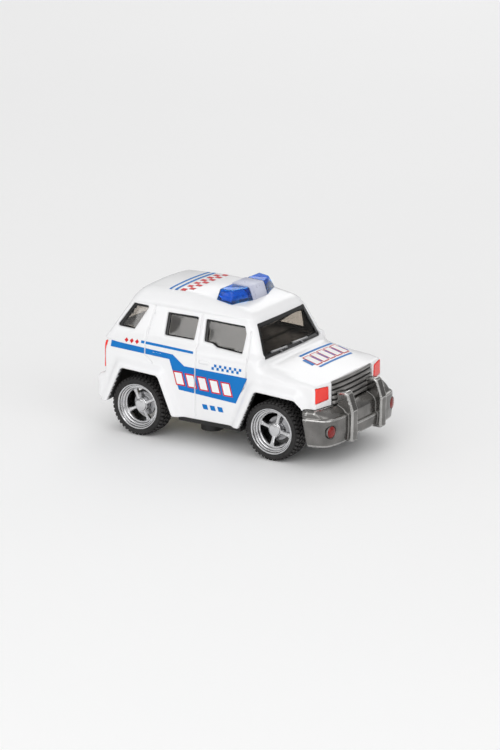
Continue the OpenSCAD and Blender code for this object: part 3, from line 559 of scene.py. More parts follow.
def bump(material, value, strength, distance):
    tree = material.node_tree
    node = tree.nodes.new("ShaderNodeBump")
    node.inputs["Strength"].default_value = strength
    node.inputs["Distance"].default_value = distance * MM
    tree.links.new(value, node.inputs["Height"])
    tree.links.new(node.outputs["Normal"], tree.nodes["Principled BSDF"].inputs["Normal"])


def paint_material(name, dark, light, roughness=0.22):
    """Enamel: a faint ripple and a little unevenness in its tone and gloss."""
    material = new_material(name, light, roughness, Coat_Weight=0.35, Coat_Roughness=0.08)
    tint(material, noise(material, 55), dark, light)
    wear(material, noise(material, 260), roughness - 0.02, roughness + 0.03)
    bump(material, noise(material, 900), 0.03, 0.03)
    return material


def print_material(name, dark, light):
    """Thin ink on the enamel, less glossy than the paint."""
    material = new_material(name, light, 0.38, Specular_IOR_Level=0.25)
    tint(material, noise(material, 90), dark, light)
    wear(material, noise(material, 600), 0.32, 0.44)
    return material


def plastic_material(name, dark, light, roughness, grain):
    """Moulded plastic with a fine grain."""
    material = new_material(name, light, roughness)
    tint(material, noise(material, 120), dark, light)
    wear(material, noise(material, 400), roughness - 0.08, roughness + 0.08)
    bump(material, noise(material, 2500), grain, 0.1)
    return material


def metal_material(name, dark, light, roughness, grain, metallic=1.0):
    material = new_material(name, light, roughness, Metallic=metallic)
    tint(material, noise(material, 180), dark, light)
    wear(material, noise(material, 700, 5), roughness - 0.06, roughness + 0.1)
    bump(material, noise(material, 1800), grain, 0.05)
    return material


def lens_material(name, dark, light, transmission, roughness=0.08, index=1.45):
    material = new_material(name, light, roughness, Transmission_Weight=transmission, IOR=index)
    tint(material, noise(material, 150), dark, light)
    wear(material, noise(material, 500), roughness - 0.04, roughness + 0.05)
    return material


white_paint = paint_material("white_enamel", linear(241, 241, 242), linear(245, 245, 246))
blue_print = print_material("blue_print", linear(0, 112, 190), linear(0, 120, 200))
red_print = print_material("red_print", linear(205, 30, 38), linear(222, 40, 46))
white_print = print_material("white_print", linear(244, 244, 244), linear(250, 250, 250))
# Bare zinc of the shell's inside, darkened below its own grey as painted shade in the hollow seen through
# windows and arches
bare_zinc_and_painted_shade = metal_material("bare_zinc_and_painted_shade", linear(60, 60, 61), linear(76, 76, 77), 0.5, 0.2, 0.3)
gunmetal = metal_material("gunmetal_lacquer", linear(106, 105, 103), linear(130, 128, 126), 0.2, 0.12)
# Lighter gunmetal for the casting's sharpest edges: a painted highlight where the edges would catch the
# lamps
painted_edge_highlight = metal_material("painted_edge_highlight", linear(170, 169, 167), linear(194, 193, 191), 0.24, 0.08)
dark_metal = metal_material("dark_metal", linear(124, 123, 121), linear(148, 146, 144), 0.34, 0.12, 0.8)
# Black plastic of the chassis; on the grille's back the same black is painted shade between the slats
black_plastic_and_painted_shade = plastic_material("black_plastic_and_painted_shade", linear(20, 20, 20), linear(34, 33, 33), 0.5, 0.2)
black_gloss = plastic_material("black_gloss", linear(12, 12, 13), linear(24, 24, 25), 0.16, 0.03)
grey_plastic = plastic_material("interior_plastic", linear(22, 21, 21), linear(34, 32, 31), 0.55, 0.2)
side_glass = lens_material("side_glass", linear(214, 209, 202), linear(224, 218, 211), 1.0, 0.05, 1.86)
screen_glass = lens_material("screen_glass", linear(220, 213, 204), linear(230, 222, 213), 1.0, 0.05, 1.16)
bright_cell = metal_material(
    "reflector_cell", linear(228, 230, 236), linear(244, 245, 250), 0.22, 0.05, 0.1)
red_lens = lens_material("red_lens", linear(246, 48, 40), linear(255, 66, 54), 0.05, 0.14)
red_gem = lens_material("red_gem", linear(118, 22, 20), linear(170, 38, 34), 0.25, 0.08)
blue_lens = lens_material("blue_lens", linear(30, 152, 252), linear(48, 172, 255), 0.95, 0.05)
frosted_lens = lens_material("frosted_lens", linear(192, 195, 216), linear(212, 215, 232), 0.06, 0.3)
silver_plastic = metal_material(
    "silver_plastic", linear(176, 177, 180), linear(206, 206, 208), 0.28, 0.1, 0.8)
chrome = metal_material("bright_plating", linear(196, 196, 198), linear(224, 224, 225), 0.16, 0.08)
rubber = plastic_material("tyre_rubber", linear(24, 23, 23), linear(38, 36, 36), 0.6, 0.4)
# Lighter rubber for the tread tops: painted light on the lug tops where they catch the lamps
painted_lit_tread = plastic_material("painted_lit_tread", linear(60, 58, 58), linear(76, 74, 74), 0.5, 0.2)
steel = metal_material("bright_steel", linear(150, 150, 152), linear(186, 186, 188), 0.3, 0.1)
natural_plastic = plastic_material(
    "natural_plastic", linear(212, 202, 172), linear(226, 218, 192), 0.5, 0.1)
gear_plastic = plastic_material("gear_plastic", linear(228, 226, 216), linear(240, 238, 230), 0.42, 0.08)
spring_steel = metal_material("spring_steel", linear(78, 84, 98), linear(108, 112, 124), 0.34, 0.1)


# Body shell
def make_body():
    low = (TAIL_X - 4, -FLARE_Y - 1, SILL_Z - 1)
    high = (NOSE_X + 1.5, 0, ROOF_Z + 1.5)
    x, y, z = half_axes(low, high, VOXEL)
    ay = -y
    outer = skin_field(x, y, z)
    body = outer.copy()
    for points in DOOR_LINES:
        groove = line_field(points, x, z) - GROOVE_HALF
        body = np.maximum(body, -np.maximum(groove, -(outer + GROOVE_DEEP)))
    body = smooth_max(body, SILL_Z - z, 0.8)
    body = np.maximum(body, np.where(x < REAR_X - 8, 11.8, 0) - z)
    inner = core_field(x, ay, z) + WALL
    body = np.maximum(body, -inner)
    for points in (arch_points(REAR_X), front_arch_points()):
        arch = np.maximum(rounded_polygon(points, 2, x, z), 16 - ay)
        body = smooth_max(body, -arch, 0.6)
    for points in SIDE_WINDOWS.values():
        body = smooth_max(body, -np.maximum(rounded_polygon(points, WINDOW_R, x, z), 12 - ay), 0.5)
    screen = np.maximum(rounded_polygon(SCREEN, WINDOW_R, y, z), SCREEN_FOOT_X - 14 - x)
    back_glass = np.maximum(rounded_polygon(BACK_GLASS, WINDOW_R, y, z), x - HATCH_FOOT_X - 14)
    body = smooth_max(smooth_max(body, -screen, 0.5), -back_glass, 0.5)
    grille = box_field(
        (x, ay, z), (NOSE_X - 3.4, -GRILLE_Y - 1, 22.5), (NOSE_X + 9, GRILLE_Y, 31.2), 0.3)
    body = smooth_max(body, -grille, 0.4)
    for form in (headlamp_form, tail_lamp_form):
        outline, front = form(x, ay, z)
        body = np.maximum(body, -np.maximum(outline, -(front + LAMP_DEEP)))
    plate = box_field((x, ay, z), (REAR_X - 22, -6.5, 25.5), (TAIL_X + 0.5, 6.5, 30.5), 0.3)
    body = np.maximum(body, -plate)
    hatch_line = np.abs(box_field((0 * x, ay, z), (-1, -19, 23.8), (1, 19, 40), 2)) - GROOVE_HALF
    hatch_line = np.maximum(np.maximum(hatch_line, -(outer + GROOVE_DEEP)), x - REAR_X + 8)
    body = np.maximum(body, -hatch_line)
    body = np.maximum(body, -(bumper_field(x, ay, z) - 0.1))
    mesh = mirrored_mesh("body_shell_paint", body, low, y, VOXEL, 0.08)
    obj = finish_object(
        "body_shell_paint", mesh, white_paint, replaces=["body_shell"])
    # Faces inside the wall get the bare zinc, darkened as painted shade
    mark(obj, bare_zinc_and_painted_shade, lambda x, y, z: outer_field(x, y, z) < -WALL * 0.7)


# Lamps set in pockets of the shell: outline from the front, and distance in front of the panel
def headlamp_form(x, ay, z):
    points = [(16.4, 24.9), (16.6, 30.1), (23.5, 30.6), (23.7, 24.5)]
    return rounded_polygon(points, 0.35, ay, z), x - nose_face_x(ay)


def tail_lamp_form(x, ay, z):
    points = [(20.8, 24.6), (20.8, 35.2), (24.0, 35.2), (24.3, 24.6)]
    return rounded_polygon(points, 0.4, ay, z), TAIL_X - x + 0 * ay


def make_lamp(name, form, low, high, proud):
    x, ay, z = grid_axes(low, high, FINE_VOXEL)
    outline, front = form(x, ay, z)
    lamp = smooth_max(outline + 0.12, front - proud, 0.5)
    lamp = np.maximum(lamp, -(front + LAMP_DEEP - 0.05))
    lamp = np.maximum(lamp, skin_field(x, ay, z) - proud)
    for side, word in SIDES:
        whole = lamp if side > 0 else lamp[:, ::-1, :]
        start = (low[0], low[1] if side > 0 else -float(ay.max()), low[2])
        full_name = name + "_" + word
        mesh = field_mesh(full_name + "_lens", whole, start, FINE_VOXEL, 0.2)
        finish_object(full_name + "_lens", mesh, red_lens, replaces=[full_name])


# Front bumper with its two overriders
def bumper_field(x, ay, z):
    reach = x - FRONT_X
    inset_x = 0.002 * ay ** 2 + 0.0066 * over(ay - 12.7) ** 2
    face = reach - BUMPER_REACH + inset_x + 0.12 * over(13 - z)
    side = ay - np.minimum(25.2 + 0.22 * over(22 - reach), 26.6)
    top = 22.4 - 0.5 * over(reach + inset_x - 20.8)
    ridge = RIDGE_Z + RIDGE_RISE * np.clip((ay - 8.6) / 4, 0, 1)
    lower = smooth_max(smooth_max(face, side, 4), z - ridge, 0.8)
    upper = smooth_max(smooth_max(face + 0.95, side + 0.5, 4), z - top, 2.0)
    form = smooth_min(lower, upper, 0.5)
    form = smooth_max(form, BUMPER_LOW_Z + 1.1 * np.clip((13.5 - ay) / 2, 0, 1) - z, 1.0)
    form = np.maximum(form, FRONT_X + 9 - x)
    guard = smooth_max(rounded_polygon(GUARD, 0.8, x, z), np.abs(ay - GUARD_Y) - GUARD_HALF, 0.9)
    return smooth_min(form, guard, 0.5)


def make_bumper():
    low = (FRONT_X + 9, -27, 8)
    high = (FRONT_X + 28.8, 0, 28)
    x, y, z = half_axes(low, high, TRIM_VOXEL)
    ay = -y
    form = bumper_field(x, ay, z)
    form = np.maximum(form, -(nose_field(x, ay, z) + 0.4))
    form = smooth_max(form, -rounded_polygon(front_arch_points(), 2, x, z), 0.7)
    grille = box_field(
        (x, ay, z), (NOSE_X - 5, -GRILLE_Y - 1, 22.2), (NOSE_X + 0.2, GRILLE_Y, 34), 0.3)
    form = np.maximum(form, -grille)
    along = (x - FOG_X) * FOG_OUT[0] + (ay - FOG_Y) * FOG_OUT[1]
    across = (ay - FOG_Y) * FOG_OUT[0] - (x - FOG_X) * FOG_OUT[1]
    hole = np.maximum(np.hypot(across, z - FOG_Z) - FOG_R, -1.0 - along)
    form = smooth_max(form, -hole, 0.4)
    mesh = mirrored_mesh("bumper_casting", form, low, y, TRIM_VOXEL, 0.03)
    obj = finish_object(
        "bumper_casting", mesh, gunmetal, replaces=["front_bumper"])
    # The sharpest edges of the casting get the lighter gunmetal as a painted highlight
    mark(obj, painted_edge_highlight, lambda x, y, z: bumper_bend(x, np.abs(y), z) > EDGE_BEND)


def bumper_bend(x, ay, z):
    """How sharply the casting turns at a point: high at its outer edges."""
    bend = 0
    for dx, dy, dz in np.eye(3) * EDGE_REACH:
        bend = bend + bumper_field(x + dx, ay + dy, z + dz) + bumper_field(x - dx, ay - dy, z - dz)
    return (bend - 6 * bumper_field(x, ay, z)) / EDGE_REACH ** 2


def make_grille():
    low = (NOSE_X - 3.4, -15.2, 22)
    high = (NOSE_X + 2.2, 15.2, 32)
    x, y, z = grid_axes(low, high, SLAT_VOXEL)
    bowed = x + 0.004 * y ** 2 + 0.25 * over(np.abs(y) - 13.2) ** 2
    back = NOSE_X - 3.1
    form = box_field((bowed, y, z), (back, -14.6, 22.6), (back + 1.2, 14.6, 31.1), 0.2)
    for i in range(SLATS):
        middle = 23.3 + i * SLAT_PITCH
        front = NOSE_X + 1.6 - 0.176 * (middle - 24.5)
        slat = box_field((bowed, y, z), (back, -14.6, middle - 0.72), (front, 14.6, middle + 0.72), 0.5)
        form = np.minimum(form, slat)
    mesh = field_mesh("grille_slats", form, low, SLAT_VOXEL, 0.15)
    obj = finish_object(
        "grille_slats", mesh, dark_metal, replaces=["front_grille"])
    # The back plate and the slats' rear faces are black: painted shade in the gaps between the slats
    mark(obj, black_plastic_and_painted_shade, lambda x, y, z: x < NOSE_X - 1.6)


def make_fog_lamps():
    bezel = [
        (2.42, -0.95), (2.42, 0.0), (2.38, 0.06), (2.34, 0.06), (2.3, 0.0), (2.28, -0.2), (2.28, -0.95)]
    gem = [(2.25, -0.6), (2.25, -0.15), (1.85, 0.2), (1.0, 0.42), (0.0, 0.46)]
    for side, word in SIDES:
        out = Vector((FOG_OUT[0], side * FOG_OUT[1], 0))
        turn = out.to_track_quat("Z", "Y").to_matrix().to_4x4()
        place = Matrix.Translation(Vector((FOG_X, side * FOG_Y, FOG_Z)) * MM) @ turn
        ring = lathe("fog_bezel_" + word, bezel, 40, closed=True)
        ring.transform(place)
        finish_object("fog_bezel_" + word, ring, dark_metal)
        stone = lathe("fog_gem_" + word, gem, 12)
        stone.transform(place)
        finish_object(
            "fog_gem_" + word, stone, red_gem, replaces=["fog_lamp_" + word], smooth=False)


# Windows: a dark frame and a tinted pane in each opening
def side_place(side):
    def place(u, v, depth):
        level = BELT_Y - CABIN_LEAN * (v - BELT_Z) - depth * math.hypot(1, CABIN_LEAN)
        return u, side * level, v
    return place


def screen_place(u, v, depth):
    bow = 0.001 * u * u
    wrap = 0.05 * over(abs(u) - 17.5) ** 2
    level = SCREEN_FOOT_X - SCREEN_LEAN * (v - BELT_Z) - bow - wrap
    return level - depth * math.hypot(1, SCREEN_LEAN), u, v


def hatch_place(u, v, depth):
    level = HATCH_FOOT_X + HATCH_LEAN * (v - BELT_Z)
    return level + depth * math.hypot(1, HATCH_LEAN), u, v


def make_window(name, outline, place, frame_w, frame_depth, glass, replaces=(), shift=(0, 0)):
    """Frame and pane of one opening. A shift moves the pane's edge within the frame."""
    pane_line = [(u + shift[0], v + shift[1]) for u, v in outline]
    rings = [
        (0.5, frame_depth + 1.0), (0.5, frame_depth), (0.15 - frame_w, frame_depth),
        (-frame_w, frame_depth + 0.15), (-frame_w, frame_depth + 1.0)]
    loops = []
    for grow, depth in rings:
        line = outline if grow > 0 else pane_line
        loops.append([place(u, v, depth) for u, v in rounded_loop(line, FRAME_R, grow)])
    frame_mesh = loft(name + "_frame", loops, closed=True)
    finish_object(name + "_frame", frame_mesh, black_gloss)
    edge = rounded_loop(pane_line, FRAME_R, 0.2 - frame_w)
    middle = np.mean(edge, axis=0)
    half = np.ptp(edge, axis=0) / 2

    def bulged(u, v):
        rise_u = 1 - min(((u - middle[0]) / half[0]) ** 2, 1)
        rise_v = 1 - min(((v - middle[1]) / half[1]) ** 2, 1)
        return place(u, v, frame_depth + 0.55 - PANE_BOW * (rise_u * rise_v))

    pane = patch(name + "_pane", edge, PANE_STEP, bulged)
    obj = finish_object(name + "_pane", pane, glass, replaces=replaces)
    thicken(obj, PANE_WALL)


def make_windows():
    for side, word in SIDES:
        for name, outline in SIDE_WINDOWS.items():
            full_name = "window_%s_%s" % (name, word)
            make_window(full_name, outline, side_place(side), 0.5, 0.8, side_glass, shift=REVEAL)
    make_window("windscreen", SCREEN, screen_place, 1.5, 0.35, screen_glass, ["glazing"])
    make_window("hatch_window", BACK_GLASS, hatch_place, 0.9, 0.8, side_glass)
    for name, start, end in (("right", -14.5, -3.5), ("left", 0.5, 11.5)):
        make_wiper("wiper_" + name, start, end)


def make_wiper(name, start, end):
    """Blade along the foot of the windscreen, on an arm from its pivot."""
    blade = [(start, 38.7), (end, 38.3)]
    pivot = ((start + end) / 2 + 1.5, 37.3)
    arm = [pivot, ((start + end) / 2, 38.5)]
    parts = []
    for (u0, v0), (u1, v1), wide in ((*blade, 0.32), (*arm, 0.28)):
        du, dv = u1 - u0, v1 - v0
        size = math.hypot(du, dv)
        nu, nv = -dv / size * wide, du / size * wide
        low_loop = [(u0 + nu, v0 + nv), (u1 + nu, v1 + nv), (u1 - nu, v1 - nv), (u0 - nu, v0 - nv)]
        mid = np.mean(low_loop, axis=0)
        loops = []
        for depth, shrink in ((0.75, 1.0), (0.25, 1.0), (0.05, 0.6)):
            ring = [mid + (np.array(p) - mid) * shrink for p in low_loop]
            loops.append([screen_place(*p, depth) for p in ring])
        parts.append(loft(name, loops, caps=True))
    finish_object(name, merge(name, parts), steel, smooth=False)


# Wheels: drawn about Z with the outer face at height 0, then set at each place
def wheel_place(axle_x, side):
    turn = Matrix.Rotation(math.radians(-90 * side), 4, "X")
    return Matrix.Translation(Vector((axle_x, side * WHEEL_Y, AXLE_Z)) * MM) @ turn


def rim_mesh(name, first_angle):
    dish = [
        (9.0, -1.3), (9.0, -0.35), (8.85, -0.2), (8.6, -0.2), (8.4, -0.4), (8.3, -0.85), (8.1, -1.0),
        (7.85, -1.0), (7.7, -1.25), (7.6, -1.75), (7.4, -1.9), (7.15, -1.9), (7.0, -2.15), (6.9, -2.6),
        (6.7, -2.75), (6.5, -3.0), (6.4, -7.9), (8.1, -7.9), (8.1, -1.3)]
    hub = [
        (0.0, -2.35), (1.9, -2.35), (2.25, -2.5), (2.4, -2.8), (2.6, -2.9), (2.6, -7.4), (0.0, -7.4)]
    spoke = ((1.8, 0.85, -3.0), (3.6, 0.62, -3.05), (5.2, 0.7, -3.15), (6.9, 1.05, -3.2))
    bolt = [(0.0, 0.22), (0.32, 0.22), (0.5, 0.05), (0.5, -0.5)]
    parts = [lathe(name, dish, 72, closed=True), lathe(name, hub, 40)]
    for i in range(SPOKES):
        turn = Matrix.Rotation(math.radians(first_angle + 360 / SPOKES * i), 4, "Z")
        spoke_loops = []
        for r, half, top in spoke:
            low_z = top - 1.3
            spoke_loops.append([
                (r, -half, low_z), (r, -half, top - 0.25), (r, -half + 0.25, top),
                (r, half - 0.25, top), (r, half, top - 0.25), (r, half, low_z)])
        parts.append(loft(name, spoke_loops, caps=True))
        parts[-1].transform(turn)
        parts.append(lathe(name, bolt, 10))
        parts[-1].transform(turn @ Matrix.Translation(Vector((5.7, 0, -3.1)) * MM))
    return merge(name, parts)


def disc_mesh(name):
    disc = [
        (2.75, -5.5), (2.75, -6.3), (4.7, -6.3), (4.7, -5.65), (4.55, -5.5), (3.4, -5.5), (3.25, -5.6),
        (3.1, -5.5)]
    block = ((3.7, -6.1), (3.7, -4.75), (3.9, -4.55), (5.3, -4.55), (5.5, -4.75), (5.5, -6.1))
    grip = []
    for i in range(CALIPER_STEPS + 1):
        angle = math.radians(60 * i / CALIPER_STEPS - 30)
        grip.append([(r * math.cos(angle), r * math.sin(angle), height) for r, height in block])
    caliper = loft(name, grip, caps=True)
    caliper.transform(Matrix.Rotation(math.radians(CALIPER_ANGLE), 4, "Z"))
    return merge(name, [lathe(name, disc, 48, closed=True), caliper])


def tyre_mesh(name):
    w = TYRE_W
    carcass = [
        (9.05, -0.75), (9.05, -0.35), (9.2, -0.1), (9.5, 0.0), (9.75, -0.05), (9.85, -0.12), (9.95, -0.05),
        (10.35, -0.06), (10.65, -0.25), (10.85, -0.7), (10.9, -1.3), (10.9, 1.3 - w), (10.85, 0.7 - w),
        (10.65, 0.25 - w), (10.2, 0.04 - w), (9.5, -w), (9.0, 0.2 - w), (8.2, 0.5 - w), (8.2, -0.75)]
    parts = [lathe(name, carcass, 72, closed=True)]
    verts = []
    faces = []
    for row in range(TREAD_ROWS):
        outer_row = row in (0, TREAD_ROWS - 1)
        y_mid = -TREAD_EDGE - (w - 2 * TREAD_EDGE) * (row + 0.5) / TREAD_ROWS
        half_y = (w - 2 * TREAD_EDGE) / TREAD_ROWS / 2 - TREAD_GAP
        for i in range(TREAD_BLOCKS):
            middle = (i + 0.5 * (row % 2)) * 2 * math.pi / TREAD_BLOCKS
            base = len(verts)
            for top_r, trim in ((TREAD_FOOT_R, 0.0), (TYRE_R - 0.02, TREAD_TRIM)):
                for du, dv in ((-1, -1), (1, -1), (1, 1), (-1, 1)):
                    skew = TREAD_SKEW * dv * (-1 if row % 2 else 1)
                    angle = middle + du * (TREAD_SHARE - trim * 0.5) * 2 * math.pi / TREAD_BLOCKS + skew
                    height = y_mid + dv * (half_y - trim)
                    outer_edge = outer_row and abs(height + w / 2) > abs(y_mid + w / 2)
                    r = top_r - SHOULDER_DROP if outer_edge else top_r
                    verts.append((r * math.cos(angle), r * math.sin(angle), height))
            a, b, c, d, e, f, g, h = range(base, base + 8)
            faces += [(e, f, g, h), (a, b, f, e), (b, c, g, f), (c, d, h, g), (d, a, e, h)]
    blocks = bpy.data.meshes.new(name)
    blocks.from_pydata([Vector(v) * MM for v in verts], [], faces)
    parts.append(blocks)
    return merge(name, parts)


def make_wheels():
    for axle_x, end in ((FRONT_X, "front"), (REAR_X, "rear")):
        for side, word in SIDES:
            place = wheel_place(axle_x, side)
            spot = end + "_" + word
            for kind, mesh, material, slot, angle in (
                ("rim", rim_mesh("rim", SPOKE_START[end]), chrome, "rim_chrome", 28),
                ("tyre", tyre_mesh("tyre"), rubber, "tyre_rubber", 30),
                ("brake_disc", disc_mesh("disc"), steel, "disc_silver", 28),
            ):
                name = "%s_%s_look" % (kind, spot)
                mesh.transform(place)
                node = kind + "_" + spot
                obj = finish_object(name, mesh, material, end + "_wheels", [node], sharp=angle)
                if kind == "tyre":
                    # The tread tops get the lighter rubber as painted light on the lugs
                    lit_tread_r = TYRE_R - LIT_TREAD_DEPTH
                    mark(obj, painted_lit_tread, lambda x, y, z: np.hypot(x - axle_x, z - AXLE_Z) > lit_tread_r)


# Light bar: two blue ends, a frosted middle and reflector cells on a plate
def bar_mesh(name, low_loop, high_loop, round_r):
    bm = bmesh.new()
    low = [bm.verts.new(Vector(p) * MM) for p in low_loop]
    high = [bm.verts.new(Vector(p) * MM) for p in high_loop]
    n = len(low)
    for i in range(n):
        bm.faces.new((low[i], low[(i + 1) % n], high[(i + 1) % n], high[i]))
    bm.faces.new(high)
    bmesh.ops.recalc_face_normals(bm, faces=bm.faces[:])
    edges = [e for e in bm.edges if not e.is_boundary]
    bmesh.ops.bevel(bm, geom=edges, offset=round_r * MM, segments=3, profile=0.5, affect="EDGES")
    return bm_mesh(name, bm)


def make_light_bar():
    foot = BAR_FOOT_Z
    front_z = BAR_TOP_Z - 0.2
    back_z = BAR_TOP_Z + 0.2
    for side, word in SIDES:
        split = side * (BAR_MID + 0.1)
        low_loop = [
            (BAR_X + 0.2, split, foot), (BAR_X - 2.9, side * BAR_END, foot),
            (BAR_X - 11.4, side * (BAR_END - 0.3), foot), (BAR_X - 10.6, split, foot)]
        high_loop = [
            (BAR_X - 2.2, split, front_z), (BAR_X - 5, side * (BAR_END - 2.6), front_z),
            (BAR_X - 9.8, side * (BAR_END - 1.9), back_z), (BAR_X - 9.8, split, back_z)]
        name = "light_lens_" + word
        obj = finish_object(
            name + "_shade", bar_mesh(name, low_loop, high_loop, 0.55), blue_lens, replaces=[name],
            sharp=40)
        thicken(obj, LENS_WALL, -1)
        cells = []
        for i in range(CELLS):
            y = side * (6.5 + 2.75 * i)
            x = BAR_X - 4.9 - 0.3 * (abs(y) - BAR_MID)
            loops = []
            for z, half_x, half_y in ((foot, 2.6, 1.15), (57.2, 2.3, 1.05), (58.3, 1.2, 0.5)):
                loops.append([
                    (x - half_x, y - half_y, z), (x + half_x, y - half_y, z),
                    (x + half_x, y + half_y, z), (x - half_x, y + half_y, z)])
            cells.append(loft(name, loops, caps=True))
        finish_object(
            "light_cells_" + word, merge(name, cells), bright_cell, smooth=False)
    low_loop = []
    high_loop = []
    for x, y, back, rise in BAR_CENTRE:
        low_loop.append((BAR_X + x, y * BAR_MID, foot))
        high_loop.append((BAR_X + x - back, y * BAR_MID, BAR_TOP_Z + rise))
    obj = finish_object(
        "light_lens_centre_shade", bar_mesh("light_lens_centre", low_loop, high_loop, 0.5), frosted_lens,
        replaces=["light_lens_centre"], sharp=40)
    thicken(obj, LENS_WALL, -1)
    outline = [(x, -y) for x, y in BAR_PLATE] + list(BAR_PLATE[::-1])
    plate = []
    for grow, z in ((0.0, foot), (0.0, 55.6), (0.3, 55.9)):
        plate.append([(BAR_X + x - grow, y * (1 - 0.02 * grow), z) for x, y in outline])
    finish_object(
        "light_bar_plate", loft("light_bar_plate", plate, caps=True), silver_plastic,
        replaces=["light_bar_base"], smooth=False)


# Printed livery: flat outlines cut fine and laid on the shell
def find_surface(fixed, inside, outside, axis):
    """Where the shell's surface lies along one axis, from a value inside it to one outside."""
    low = np.full(len(fixed), float(inside))
    high = np.full(len(fixed), float(outside))
    for _ in range(26):
        middle = (low + high) / 2
        at = np.insert(fixed, axis, middle, axis=1)
        within = skin_field(*at.T) < 0
        low = np.where(within, middle, low)
        high = np.where(within, high, middle)
    return (low + high) / 2


def side_print(side, lift):
    def lay(points):
        y = find_surface(points, 15, 30, 1) + lift
        return np.stack([points[:, 0], side * y, points[:, 1]], axis=1)
    return lay


def top_print(inside, lift):
    def lay(points):
        z = find_surface(points, inside, 64, 2) + lift
        return np.stack([points[:, 0], points[:, 1], z], axis=1)
    return lay


def slanted(x, z, wide, high, lean):
    return [(x, z), (x + lean, z + high), (x + lean + wide, z + high), (x + wide, z)]


def grown(points, d):
    return inset(points, -d)


def moved(points, x):
    return [(u + x, v) for u, v in points]


def checks(x, z, cell, columns, rows):
    squares = []
    for i in range(columns):
        for k in range(rows):
            if (i + k) % 2 == 0:
                squares.append(slanted(x + i * cell, z + k * cell, cell * 0.96, cell * 0.96, 0))
    return squares


def make_livery():
    band = moved([
        (-12.5, 33.4), (-12.5, 35.75), (15.7, 34.4), (21.0, 30.7), (49.2, 30.3), (44.0, 19.7),
        (18.6, 21.1), (14.2, 32.4)], REAR_X)
    stripe = moved([(1.2, 36.7), (1.2, 37.65), (24.8, 36.95), (24.8, 36.0)], REAR_X)
    bars = [slanted(REAR_X + 17.8 + 5.3 * i, 23.4 - 0.25 * i, 3.2, 4.4, -1.2) for i in range(5)]
    gems = []
    for i in range(3):
        x = REAR_X - 5.4 + 2.4 * i
        gems.append([(x - 0.9, 36.9), (x, 37.8), (x + 0.9, 36.9), (x, 36.0)])
    dashes = [slanted(REAR_X + 29.5 + 3.4 * i, 15.2, 2.2, 1.9, -0.6) for i in range(3)]
    prints = {"blue": [], "red": [], "white": []}
    side_cuts = print_cuts()
    layers = (
        ("blue", INK, [band, stripe] + dashes + checks(REAR_X + 33.2, 31.3, 1.1, 12, 2)),
        ("red", 1.5 * INK, [grown(b, 0.5) for b in bars]), ("red", INK, gems), ("white", 2 * INK, bars))
    for side, _ in SIDES:
        for color, lift, outlines in layers:
            for outline in outlines:
                prints[color].append((outline, side_print(side, lift), side_cuts))
    hood = [
        [(-0.8, -4.5), (-0.8, 19), (0.2, 19), (0.2, -4.5)],
        [(9.2, -6.5), (9.2, 17), (10.2, 17), (10.2, -6.5)],
        [(2.4, -7), (2.4, 19.6), (7.4, 18.6), (7.4, -8)]]
    for outline in hood:
        prints["blue"].append((moved(outline, FRONT_X), top_print(25, INK), ()))
    for i in range(5):
        bar = [(1.5, -4.5), (1.5, -1.3), (8, -2.3), (8, -5.5)]
        bar = [(u + FRONT_X, v + 4.9 * i) for u, v in bar]
        prints["red"].append((grown(bar, 0.45), top_print(25, 1.5 * INK), ()))
        prints["white"].append((bar, top_print(25, 2 * INK), ()))
    for x, wide in ((7.8, 1.0), (10.2, 1.2)):
        line = [(x, -14.5), (x, 13), (x + wide, 13), (x + wide, -14.5)]
        prints["blue"].append((moved(line, REAR_X), top_print(48, INK), ()))
    for square in checks(REAR_X + 12.6, -14.3, 2.3, 2, 12):
        prints["red"].append((square, top_print(48, INK), ()))
    for color, material in (("blue", blue_print), ("red", red_print), ("white", white_print)):
        name = "livery_" + color
        parts = [print_mesh(name, outline, lay, cuts) for outline, lay, cuts in prints[color]]
        finish_object(name, merge(name, parts), material)


def print_mesh(name, outline, lay, cuts):
    """One print laid on the shell. Only the prints on the sides have cuts."""
    mesh = patch(name, outline, PRINT_STEP, lambda u, v: (u, v, 0), cuts)
    flat = np.array([v.co for v in mesh.vertices])[:, :2] / MM
    laid = lay(flat)
    mesh.vertices.foreach_set("co", (laid * MM).ravel())
    bm = bmesh.new()
    bm.from_mesh(mesh)
    if cuts:
        centres = np.array([f.calc_center_median() for f in bm.faces]) / MM
        near = np.min([line_field(p, centres[:, 0], centres[:, 2]) for p in DOOR_LINES[:2]], axis=0)
        bm.faces.ensure_lookup_table()
        gone = [bm.faces[i] for i in np.flatnonzero(near < GROOVE_HALF)]
        bmesh.ops.delete(bm, geom=gone, context="FACES")
    for face in bm.faces:
        out = Vector((0, face.calc_center_median().y, 0)) if cuts else Vector((0, 0, 1))
        if face.normal.dot(out) < 0:
            face.normal_flip()
    bm.to_mesh(mesh)
    bm.free()
    return mesh


make_body()
make_lamp("headlamp", headlamp_form, (NOSE_X - 4.5, 15.8, 24), (NOSE_X + 0.8, 25, 31.4), 0.15)
make_lamp("tail_lamp", tail_lamp_form, (TAIL_X - 1.2, 20.2, 24), (TAIL_X + 2, 25.4, 35.8), 0.3)
make_bumper()
make_grille()
make_fog_lamps()
make_windows()
make_wheels()
make_light_bar()
make_livery()

# Solids that keep their shape
for names, material in (
    (("interior_tub",), grey_plastic),
    (("chassis_base",), black_plastic_and_painted_shade),
    (("base_screws", "front_axle", "rear_axle", "idler_pin"), steel),
    (("motor_case_right", "motor_case_left"), natural_plastic),
    (("axle_gear", "idler_gear", "spring_gear"), gear_plastic),
    (("mainspring",), spring_steel),
):
    for name in names:
        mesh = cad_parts[name].data
        mesh.materials.clear()
        mesh.materials.append(material)


# Camera at the photograph's viewing angle, and the light's levels
AZIMUTH = math.radians(32.05)
ELEVATION = math.radians(16.70)
DISTANCE = 1549
OFFSET_RIGHT = -29.53
OFFSET_UP = -16.86
FOCAL_PIXELS = 4000
FRAME_PIXELS = 750
HORIZON_LIGHT = 0.36
SKY_LIGHT = 0.69
LIGHT_TARGET = (0, 0, 0.03)


